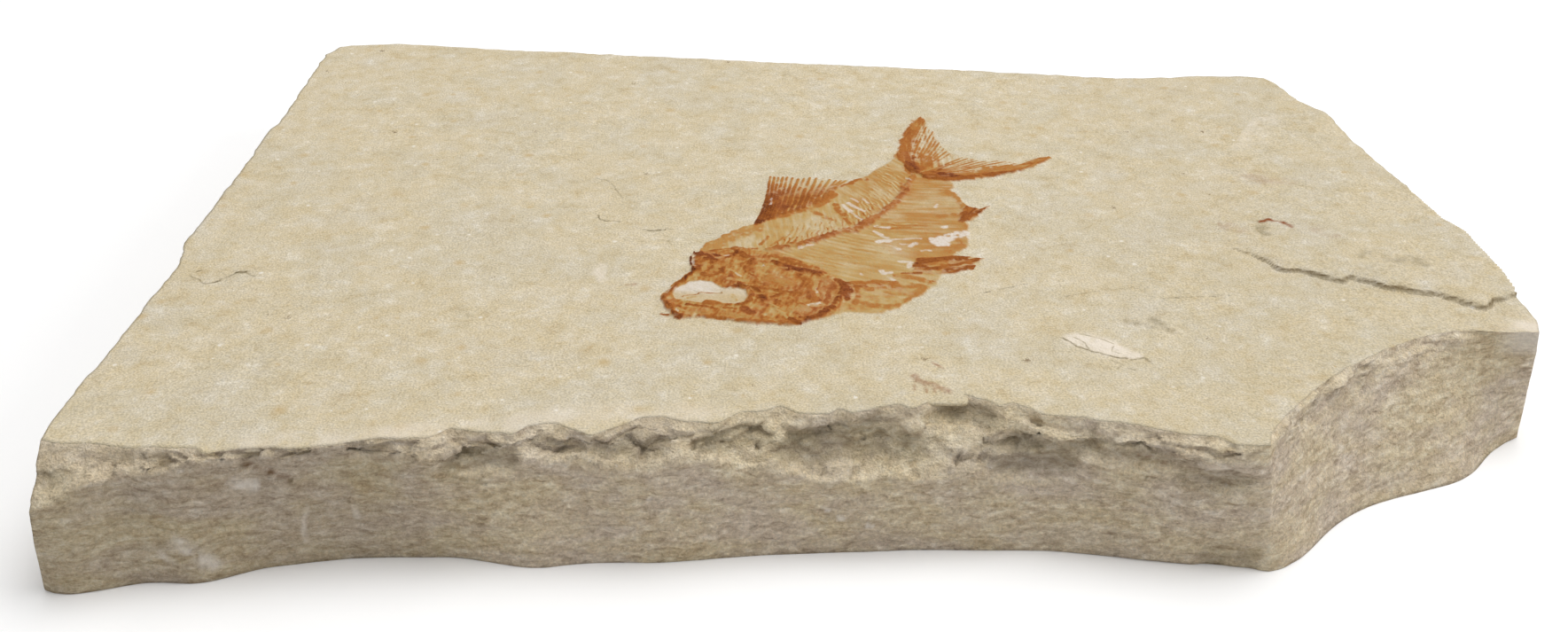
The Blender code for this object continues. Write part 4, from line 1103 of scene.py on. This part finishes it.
def fossil_bone(tree):
    """Crushed fish bone replaced by iron-stained mineral: orange to deep brown, thin and dry.

    tone picks the brown and rose a redder one, cover lets the stone show through where bone has flaked
    off, and chalk is the white mineral left in its hollows, with a painted highlight along the skull's front
    edge in the same field.
    """
    size = bpy.context.scene.fish_finish
    stone, height = stone_colour(tree)
    field = {name: add_node(tree, "ShaderNodeAttribute", {}, attribute_name=name).outputs["Fac"]
             for name in ("cover", "tone", "chalk_and_highlight", "rose")}
    where = add_node(tree, "ShaderNodeTexCoord", {}).outputs["Object"]
    fine = add_node(tree, "ShaderNodeTexNoise",
                    {"Vector": where, "Scale": per_mm(0.36), "Detail": 6, "Roughness": 0.75}).outputs[0]
    # Dark bone is the more mottled: the noise moves the tone by more where the tone is high.
    reach = add_node(tree, "ShaderNodeMath", {0: field["tone"], 1: 0.8, 2: 0.3},
                     operation="MULTIPLY_ADD").outputs[0]
    middle = add_node(tree, "ShaderNodeMath", {0: fine, 1: 0.5}, operation="SUBTRACT").outputs[0]
    shift = add_node(tree, "ShaderNodeMath", {0: middle, 1: reach}, operation="MULTIPLY").outputs[0]
    tone = add_node(tree, "ShaderNodeMath", {0: field["tone"], 1: shift}, operation="ADD").outputs[0]
    brown = add_node(tree, "ShaderNodeValToRGB", {"Fac": tone},
                     stops=[(0.0, "#C5B28A"), (0.25, "#B8975E"), (0.42, "#B28246"), (0.58, size.orange_bone),
                            (0.75, "#92521E"), (0.88, size.dark_bone), (1.0, "#52260D")]).outputs[0]
    red = add_node(tree, "ShaderNodeValToRGB", {"Fac": tone},
                   stops=[(0.0, "#CCB5A1"), (0.25, "#BC9371"), (0.5, "#AE6E48"), (0.72, "#8F4C2C"),
                          (1.0, "#511D11")]).outputs[0]
    brown = add_node(tree, "ShaderNodeMix", {0: field["rose"], 6: brown, 7: red}, data_type="RGBA").outputs[2]
    bare = add_node(tree, "ShaderNodeMix", {0: field["cover"], 6: stone, 7: brown},
                    data_type="RGBA").outputs[2]
    # Crumbs of bone some 0.1 mm across glint and shade; they are drawn three times coarser.
    glint = add_node(tree, "ShaderNodeMapRange", {"Value": fine, "From Min": 0.3, "From Max": 0.7,
                                                  "To Min": 0.86, "To Max": 1.14}).outputs[0]
    bare = add_node(tree, "ShaderNodeMix", {0: field["cover"], 6: bare, 7: glint}, data_type="RGBA",
                    blend_type="MULTIPLY").outputs[2]
    flaky = add_node(tree, "ShaderNodeMath", {0: fine, 1: 2.4, 2: -0.25}, operation="MULTIPLY_ADD").outputs[0]
    white = add_node(tree, "ShaderNodeMath", {0: field["chalk_and_highlight"], 1: flaky}, operation="MULTIPLY",
                     use_clamp=True).outputs[0]
    colour = add_node(tree, "ShaderNodeMix", {0: white, 6: bare, 7: linear(size.mineral)},
                      data_type="RGBA").outputs[2]
    height = add_node(tree, "ShaderNodeMath", {0: height, 1: fine}, operation="ADD").outputs[0]
    return colour, height


def bone_finish():
    """The finish of every sheet of the fish: its material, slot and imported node."""
    material = dull_material("iron_stained_fossil_bone", fossil_bone, roughness=0.8, specular=0.12,
                             strength=0.5, depth=0.2)
    return material, "fossil_bone", FISH


# Spacing of each sheet's points in millimetres, and the heading that its rows follow.
BODY_SHEET, HEAD_SHEET = (0.19, (0.62, 0.78)), (0.13, (0.62, 0.78))
FIN_SHEETS = [("dorsal_fin", DORSAL_LINE, 0.11, (0.0, 1.0)), ("tail_fin", TAIL_LINE, 0.13, (0.0, 1.0)),
              ("pelvic_fin", PELVIC_LINE, 0.13, (1.0, 0.2)), ("anal_fin", ANAL_LINE, 0.11, (0.62, 0.78))]


def build_fish_body():
    """The body behind the head, from the nape to the tail stalk."""
    film("fish_body", [BODY_LINE], *BODY_SHEET, fish_coat, bone_finish(), excluded=HEAD_LINE)


def build_fish_head():
    """The head: skull roof, snout, eye socket, jaws and gill cover."""
    film("fish_head", [HEAD_LINE], *HEAD_SHEET, fish_coat, bone_finish())


def build_fish_fins():
    """The dorsal and tail fins and what is left of the pelvic and anal fins."""
    for name, outline, spacing, heading in FIN_SHEETS:
        film(name, [outline], spacing, heading, fish_coat, bone_finish(), excluded=BODY_LINE)


# --- the standing bed and the marks on the top face ----------------------------------------------------

LEDGE_LINE = [(62.3, -15.4), (63.9, -17.0), (65.0, -17.8), (66.0, -19.3), (67.2, -20.7), (67.5, -22.4),
              (69.1, -23.5), (71.5, -23.5), (72.8, -24.6), (74.8, -26.0), (76.8, -27.0), (78.1, -25.4),
              (80.4, -27.0), (81.9, -28.4), (84.3, -29.2), (86.6, -30.0), (89.0, -30.5), (91.0, -32.1),
              (92.9, -33.9), (94.5, -34.9), (95.7, -33.9), (97.2, -32.3), (98.9, -31.8), (100.3, -31.0)]
BED_RIGHT = [(101.0, -23.5), (100.7, -10.4), (98.9, -5.7), (97.2, 8.3), (94.5, 24.9), (94.1, 38.8)]
BED_BACK = [(80.0, 36.0), (70.0, 18.0), (64.0, 0.0), (61.6, -12.0), (62.2, -15.2)]
LAST_BED, BED_HIGH_POINT = 0.9, (93.4, -34.1)       # thickness at its highest point, millimetres
BED_SLOPE = (0.0021, -0.0124)                       # rise of its top per millimetre in X and Y
PAST_RIGHT = [(120.0, -31.0), (120.0, 60.0)]        # points off the slab, where the bed has no edge
BED_SHEET, PATCH_SHEET = (0.36, (0.9, -0.4)), (0.15, (1.0, 0.0))    # spacing and heading, as above
PATCH_MARGIN = 1.6                                  # how far a patch reaches past its marks

# Stains on the bed: field, strength, half width, then the line.
BED_STAINS = [("smudge_and_shade", 0.24, 1.9, [(83.2, -19.0), (86.2, -20.1), (89.7, -21.8)]),
              ("smudge_and_shade", 0.3, 1.8, [(68.0, 22.6), (66.6, 17.2)]),
              ("rust_and_shade", 0.2, 1.5, [(72.3, 9.7), (75.2, 8.3), (78.1, 7.9)]),
              ("rust_and_shade", 1.0, 0.5, [(70.4, -6.9), (71.2, -6.5), (72.5, -7.5), (73.8, -8.8)]),
              ("smudge_and_shade", 0.3, 0.9, [(70.2, -6.8), (68.8, -12.3)]),
              ("rust_and_shade", 0.22, 1.3, [(61.5, -7.3), (64.7, -8.5), (66.4, -10.1)]),
              ("smudge_and_shade", 0.25, 1.0, [(81.0, 37.4), (83.8, 40.2)]),
              ("rust_and_shade", 0.2, 0.8, [(77.0, -10.0), (79.6, -12.8)]),
              ("chalk_and_highlight", 0.2, 4.5, [(74.0, 26.0), (82.0, 38.0), (90.0, 44.0)])]

# Marks on the top face: field, strength, lift in millimetres, half width, then the line.
TOP_MARKS = {
    "calcite_patch": [
        ("chalk_and_highlight", 0.8, 0.06, (2.4, 3.0, 3.0), [(33.6, -42.8), (35.6, -43.4), (37.6, -44.7)]),
        ("chalk_and_highlight", 0.8, 0.05, (2.7, 2.3), [(37.4, -44.8), (39.6, -46.4)]),
        ("chalk_and_highlight", 0.6, 0.03, (1.8, 1.2), [(39.6, -46.6), (41.4, -47.2)]),
        ("smudge_and_shade", 0.75, -0.01, 0.24, [(32.0, -42.4), (33.4, -44.6), (35.5, -45.9), (37.4, -46.9),
                                       (39.8, -47.9)]),
        ("smudge_and_shade", 0.55, -0.01, 0.18, [(34.6, -41.4), (37.1, -42.7), (38.6, -44.0)]),
        ("smudge_and_shade", 0.6, -0.01, 0.18, [(33.4, -42.4), (34.6, -43.8), (35.0, -45.2)]),
        ("smudge_and_shade", 0.5, -0.01, 0.16, [(38.6, -44.6), (38.0, -45.9), (39.4, -46.6)]),
        ("smudge_and_shade", 0.5, -0.01, 0.3, [(40.4, -48.2), (42.2, -47.6), (43.0, -48.6)]),
        ("smudge_and_shade", 0.4, -0.01, 0.3, [(37.8, -48.4), (38.9, -49.3), (38.2, -50.3)]),
        ("smudge_and_shade", 0.4, -0.01, 0.25, [(39.6, -50.2), (40.6, -50.6)]),
        ("smudge_and_shade", 0.35, 0.0, 0.9, [(41.9, -37.9), (43.4, -38.5)]),
        ("smudge_and_shade", 0.35, 0.0, 1.2, [(45.6, -37.4), (46.4, -38.7)]),
        ("smudge_and_shade", 0.3, 0.0, 0.9, [(44.4, -38.9), (45.4, -39.6)]),
        ("smudge_and_shade", 0.35, 0.0, 1.1, [(46.8, -39.9), (47.6, -40.6)])],
    "stray_bone": [
        ("rust_and_shade", 0.55, 0.06, 0.9, [(10.2, -52.1), (10.7, -53.1), (12.3, -54.2), (13.4, -55.1),
                                   (14.7, -55.9)]),
        ("rust_and_shade", 0.5, 0.04, 0.35, [(10.4, -53.4), (9.9, -55.5)]),
        ("rust_and_shade", 0.5, 0.04, 0.35, [(11.3, -54.2), (11.6, -56.1)]),
        ("rust_and_shade", 0.5, 0.04, 0.35, [(12.5, -54.7), (12.8, -56.1)]),
        ("rust_and_shade", 0.4, 0.04, 0.35, [(13.6, -55.3), (14.0, -56.4)]),
        ("rust_and_shade", 0.6, 0.02, 0.35, [(13.0, -49.0), (14.1, -50.3)])],
    "flake_scar": [
        ("chalk_and_highlight", 0.5, 0.0, 1.5, [(-35.6, -21.6), (-35.4, -23.4)]),
        ("chalk_and_highlight", 0.5, 0.0, 1.3, [(-35.2, -23.4), (-34.7, -25.8)]),
        ("smudge_and_shade", 0.6, 0.0, 0.25, [(-25.7, -13.3), (-25.4, -13.5)]),
        ("rust_and_shade", 0.4, 0.0, 0.6, [(-30.8, -27.3), (-29.7, -27.0)])],
    "hairline_cracks": [
        ("smudge_and_shade", 0.7, -0.02, 0.22, [(-37.8, -4.1), (-37.2, -5.7), (-36.3, -6.4), (-35.0, -6.0),
                                      (-33.9, -6.4)]),
        ("smudge_and_shade", 0.5, -0.02, 0.2, [(-39.7, 10.0), (-37.8, 9.3), (-36.7, 7.9), (-35.4, 4.5), (-34.4, 2.4)]),
        ("smudge_and_shade", 0.9, -0.02, 0.3, [(-29.8, -9.3), (-28.5, -9.6), (-26.6, -9.3)]),
        ("smudge_and_shade", 0.4, -0.02, 0.2, [(-30.8, -8.8), (-29.3, -9.5)]),
        ("smudge_and_shade", 0.45, -0.02, 0.2, [(-27.0, -9.5), (-26.2, -8.8), (-25.1, -9.2)])],
    "edge_crack": [
        ("smudge_and_shade", 0.5, -0.02, 0.25, [(-97.7, -24.0), (-95.9, -25.4), (-94.1, -26.8), (-92.6, -26.2),
                                      (-91.6, -24.9), (-90.6, -23.8), (-89.0, -23.5), (-87.4, -24.6)]),
        ("smudge_and_shade", 0.9, 0.0, 0.25, [(-96.8, -22.9), (-96.1, -22.7)]),
        ("smudge_and_shade", 0.9, 0.0, 0.28, [(-93.1, -26.5), (-92.1, -26.0)]),
        ("smudge_and_shade", 0.9, 0.0, 0.28, [(-90.6, -23.6), (-89.2, -23.3)])],
}


def bed_coat(flat):
    """The standing bed: its top a gently falling plane, its front a ragged ledge, its back thinning out.

    Returns its stains, with painted shade along its steep ledge, and its height above the bedding plane.
    """
    still = on_plane(flat)
    rise = LAST_BED + (flat - BED_HIGH_POINT) @ BED_SLOPE
    outline = LEDGE_LINE + PAST_RIGHT + BED_BACK
    depth = depth_inside(flat, outline) + 0.3 * rough(still, 1.8, 131) + 0.12 * rough(still, 0.7, 133, 2)
    back = np.min([np.linalg.norm(flat - point, axis=1) for point in resampled(BED_BACK, 24)], axis=0)
    standing = eased(depth, -0.1, 0.4)
    feather = eased(back, 0.3, 9.0) ** 0.6
    second = eased(depth, 0.7, 1.5)
    lift = np.maximum(rise, 0) * feather * standing * (0.72 + 0.28 * second)
    lift += 0.05 * rough(still, 3.0, 135) * standing - 0.08 * (1 - standing)
    thin = 0.25 + 0.3 * np.clip(rough(still, 2.6, 137), -0.6, 1)
    # Painted shadow: a thin band of wandering width just inside the ledge's edge, on its steep face, is
    # coloured dark.
    shadow = standing * (1 - eased(depth, thin, thin + 0.4)) * eased(back, 0.2, 1.6)
    edge = eased(flat[:, 0], 60.8, 63.4) * eased(flat[:, 1], -13.6, -15.4)
    drifted = flat + 1.2 * drift(still, 2.4, (139, 140))
    worn = np.clip(1.0 + 1.4 * rough(still, 1.2, 142), 0, 1.4)
    # The painted shadow goes into the dark dirt field, with a tenth as much into the red-brown one.
    fields = {"smudge_and_shade": np.maximum(0.95 * shadow * edge, EVEN_DUST), "rust_and_shade": 0.1 * shadow * edge,
              "chalk_and_highlight": np.zeros(len(flat))}
    for field, strength, wide, line in BED_STAINS:
        fields[field] = np.maximum(fields[field], strength * worn * nearness(drifted, line, 1.4 * wide))
    return fields, lift


def marked(marks):
    """The coat of a patch of stone that carries marks: each laid on by its nearness, with broken edges."""
    def coat(flat):
        still = on_plane(flat)
        wobble = 0.25 * drift(still, 1.1, (141, 145))
        broken = np.clip(0.85 + 0.7 * rough(still, 0.9, 149), 0.1, 1.0)
        fields = {field: np.zeros(len(flat)) for field in ("smudge_and_shade", "rust_and_shade", "chalk_and_highlight")}
        lift = np.zeros(len(flat))
        for field, strength, height, wide, line in marks:
            near = nearness(flat + wobble, line, wide) * broken
            for other in fields:
                fields[other] = fields[other] * (1 - near)
            fields[field] = fields[field] + strength * near
            lift = lift + near * height
        return fields, lift
    return coat


def build_bedding():
    """The standing bed at the right and the patches of stone that carry cracks, calcite and stray bone."""
    film("standing_bed", [LEDGE_LINE + BED_RIGHT + BED_BACK], *BED_SHEET, bed_coat, bedding_finish())
    for name, marks in TOP_MARKS.items():
        points = np.concatenate([np.array(mark[-1]) for mark in marks])
        (left, near), (right, far) = points.min(axis=0) - PATCH_MARGIN, points.max(axis=0) + PATCH_MARGIN
        film(name, [[(left, near), (right, near), (right, far), (left, far)]], *PATCH_SHEET,
             marked(marks), bedding_finish())


# --- the stage --------------------------------------------------------------------------------------

FLOOR_DROP = 0.05                                   # how far the floor lies under the slab
CAMERA_PLACE, CAMERA_TILT = (-7.35, -216.639, 125.403), 59.2293     # tilt in degrees up from straight down
CAMERA_LENS, SENSOR_WIDTH, NEAREST_SEEN = 33.3748, 36.0, 10.0

# The soft lamps' places and widths are in metres.
OVERHEAD_PLACE, OVERHEAD_WIDTH = (0.25, 0.30, 1.3), 1.0
SIDE_PLACE, SIDE_WIDTH = (1.2, 0.0, 0.6), 0.7


def floor_paint():
    """Matt white painted board, smooth and even."""
    material = bpy.data.materials.new("matt_white_board")
    material.use_nodes = True
    tree = material.node_tree
    shader = tree.nodes["Principled BSDF"]
    where = add_node(tree, "ShaderNodeTexCoord", {}).outputs["Object"]
    tooth = add_node(tree, "ShaderNodeTexNoise", {"Vector": where, "Scale": per_mm(40)}).outputs[0]
    shade = add_node(tree, "ShaderNodeValToRGB", {"Fac": tooth},
                     stops=[(0.0, "#FCFCFC"), (1.0, "#FFFFFF")]).outputs[0]
    tree.links.new(shade, shader.inputs["Base Color"])
    shader.inputs["Roughness"].default_value = 0.9
    return material


def build_stage():
    """The floor, the sky light, a big soft lamp overhead, one at the right and the camera."""
    studio = bpy.context.scene.fossil_studio
    half = studio.floor_half
    mesh = bpy.data.meshes.new("floor")
    mesh.from_pydata([(-half, -half, 0), (half, -half, 0), (half, half, 0), (-half, half, 0)], [],
                     [(0, 1, 2, 3)])
    mesh.materials.append(floor_paint())
    floor = bpy.data.objects.new("floor", mesh)
    floor.location.z = -FLOOR_DROP * MM
    bpy.context.scene.collection.objects.link(floor)

    world = bpy.data.worlds.new("studio")
    world.use_nodes = True
    sky = world.node_tree.nodes["Background"]
    sky.inputs["Color"].default_value = (1.0, 1.0, 1.0, 1.0)
    sky.inputs["Strength"].default_value = studio.sky
    bpy.context.scene.world = world

    for name, place, power, width in (
            ("overhead_softbox", OVERHEAD_PLACE, studio.overhead, OVERHEAD_WIDTH),
            ("side_softbox", SIDE_PLACE, studio.side, SIDE_WIDTH)):
        data = bpy.data.lights.new(name, "AREA")
        data.energy, data.size = power, width
        lamp = bpy.data.objects.new(name, data)
        lamp.location = place
        lamp.rotation_euler = (-Vector(place)).to_track_quat("-Z", "Y").to_euler()
        bpy.context.scene.collection.objects.link(lamp)

    camera_data = bpy.data.cameras.new("camera")
    camera_data.lens, camera_data.sensor_width = CAMERA_LENS, SENSOR_WIDTH
    camera_data.clip_start = NEAREST_SEEN * MM
    camera = bpy.data.objects.new("camera", camera_data)
    camera.location = [value * MM for value in CAMERA_PLACE]
    camera.rotation_euler = (math.radians(CAMERA_TILT), 0.0, 0.0)
    bpy.context.scene.collection.objects.link(camera)
    bpy.context.scene.camera = camera
    bpy.context.scene.view_settings.view_transform = "Standard"


# --- settings, operators and panel --------------------------------------------------------------------

def colour_setting(name, description, code):
    """A colour that the user can change, with its default given as an sRGB hex value."""
    return FloatVectorProperty(name=name, description=description, subtype="COLOR", size=3, min=0.0,
                               max=1.0, default=linear(code)[:3])


class SlabFinish(bpy.types.PropertyGroup):
    """Sizes and colours of the limestone's own surfaces."""
    columns_across: IntProperty(name="Columns across", description="Points along the near and far edges",
                                default=420, min=40)
    columns_bite: IntProperty(name="Columns round the bite", description="Points round the broken corner",
                              default=74, min=10)
    columns_away: IntProperty(name="Columns away", description="Points along the left and right edges",
                              default=205, min=30)
    rows_low: IntProperty(name="Rows below", description="Rows of points in each half of the plain side",
                          default=17, min=4)
    rows_high: IntProperty(name="Rows above", description="Rows of points in the chipped edge",
                           default=20, min=4)
    raggedness: FloatProperty(name="Raggedness", description="How far the top edge wanders, millimetres",
                              default=0.35, min=0.0)
    warm_stone: colour_setting("Warm stone", "The stone's ochre clouds", "#D6C49F")
    cool_stone: colour_setting("Cool stone", "The stone's greyer clouds", "#D1C7B3")


class FishFinish(bpy.types.PropertyGroup):
    """Sizes and colours of the fish's thin sheets."""
    margin: FloatProperty(name="Margin", default=0.7, min=0.1,
                          description="How far each sheet reaches past its outline, millimetres")
    underside: FloatProperty(name="Underside", description="Height of the sheets' underside, millimetres",
                             default=17.5, min=0.0)
    clear: FloatProperty(name="Clear", description="How far a bare sheet lies above the stone, millimetres",
                         default=0.03, min=0.0)
    sink: FloatProperty(name="Sink", default=0.12, min=0.0,
                        description="How far the sheets' edges sink past their outlines, millimetres")
    orange_bone: colour_setting("Orange bone", "The bone's middle tone", "#A8682D")
    dark_bone: colour_setting("Dark bone", "The thickest bone", "#783D14")
    mineral: colour_setting("White mineral", "What fills the hollows between the bones", "#D9CFC3")


class FossilStudio(bpy.types.PropertyGroup):
    """The floor and the light."""
    floor_half: FloatProperty(name="Floor", description="Half the floor's width", default=6.0,
                              subtype="DISTANCE", unit="LENGTH")
    sky: FloatProperty(name="Sky light", description="Strength of the even light from all round", default=0.5)
    overhead: FloatProperty(name="Overhead lamp", description="Power of the soft lamp overhead", default=12.0,
                            unit="POWER")
    side: FloatProperty(name="Side lamp", description="Power of the soft lamp at the right", default=4.4,
                        unit="POWER")


class FOSSIL_OT_stage(bpy.types.Operator):
    """Sets the floor, the light and the camera."""
    bl_idname = "fossil.stage"
    bl_label = "Stage"

    def execute(self, context):
        build_stage()
        return {"FINISHED"}


class FOSSIL_OT_slab(bpy.types.Operator):
    """Builds the limestone slab's top face and broken sides."""
    bl_idname = "fossil.slab"
    bl_label = "Limestone slab"

    def execute(self, context):
        build_slab()
        return {"FINISHED"}


class FOSSIL_OT_bedding(bpy.types.Operator):
    """Builds the standing bed and the marked patches of the top face."""
    bl_idname = "fossil.bedding"
    bl_label = "Standing bed and marks"

    def execute(self, context):
        build_bedding()
        return {"FINISHED"}


class FOSSIL_OT_fish_body(bpy.types.Operator):
    """Builds the fish's body."""
    bl_idname = "fossil.fish_body"
    bl_label = "Fish body"

    def execute(self, context):
        build_fish_body()
        return {"FINISHED"}


class FOSSIL_OT_fish_head(bpy.types.Operator):
    """Builds the fish's head."""
    bl_idname = "fossil.fish_head"
    bl_label = "Fish head"

    def execute(self, context):
        build_fish_head()
        return {"FINISHED"}


class FOSSIL_OT_fish_fins(bpy.types.Operator):
    """Builds the fish's fins."""
    bl_idname = "fossil.fish_fins"
    bl_label = "Fish fins"

    def execute(self, context):
        build_fish_fins()
        return {"FINISHED"}


class FOSSIL_PT_pieces(bpy.types.Panel):
    """Lists the pieces of the fossil slab."""
    bl_idname = "FOSSIL_PT_pieces"
    bl_label = "Fossil fish slab"
    bl_space_type = "VIEW_3D"
    bl_region_type = "UI"
    bl_category = "Fossil"

    def draw(self, context):
        for operator in OPERATORS:
            self.layout.operator(operator.bl_idname)
        for group in (context.scene.slab_finish, context.scene.fish_finish, context.scene.fossil_studio):
            for name in group.bl_rna.properties.keys():
                if name not in ("rna_type", "name"):
                    self.layout.prop(group, name)


OPERATORS = (FOSSIL_OT_stage, FOSSIL_OT_slab, FOSSIL_OT_bedding, FOSSIL_OT_fish_body, FOSSIL_OT_fish_head,
             FOSSIL_OT_fish_fins)
CLASSES = (SlabFinish, FishFinish, FossilStudio) + OPERATORS + (FOSSIL_PT_pieces,)


def register():
    """Registers the classes and puts the settings on the scene."""
    for each in CLASSES:
        bpy.utils.register_class(each)
    bpy.types.Scene.slab_finish = PointerProperty(type=SlabFinish)
    bpy.types.Scene.fish_finish = PointerProperty(type=FishFinish)
    bpy.types.Scene.fossil_studio = PointerProperty(type=FossilStudio)


def unregister():
    """Takes the settings off the scene and unregisters the classes."""
    del bpy.types.Scene.slab_finish, bpy.types.Scene.fish_finish, bpy.types.Scene.fossil_studio
    for each in reversed(CLASSES):
        bpy.utils.unregister_class(each)


def main():
    register()
    bpy.ops.fossil.stage()
    bpy.ops.fossil.slab()
    bpy.ops.fossil.bedding()
    bpy.ops.fossil.fish_body()
    bpy.ops.fossil.fish_head()
    bpy.ops.fossil.fish_fins()


if __name__ == "__main__":
    main()
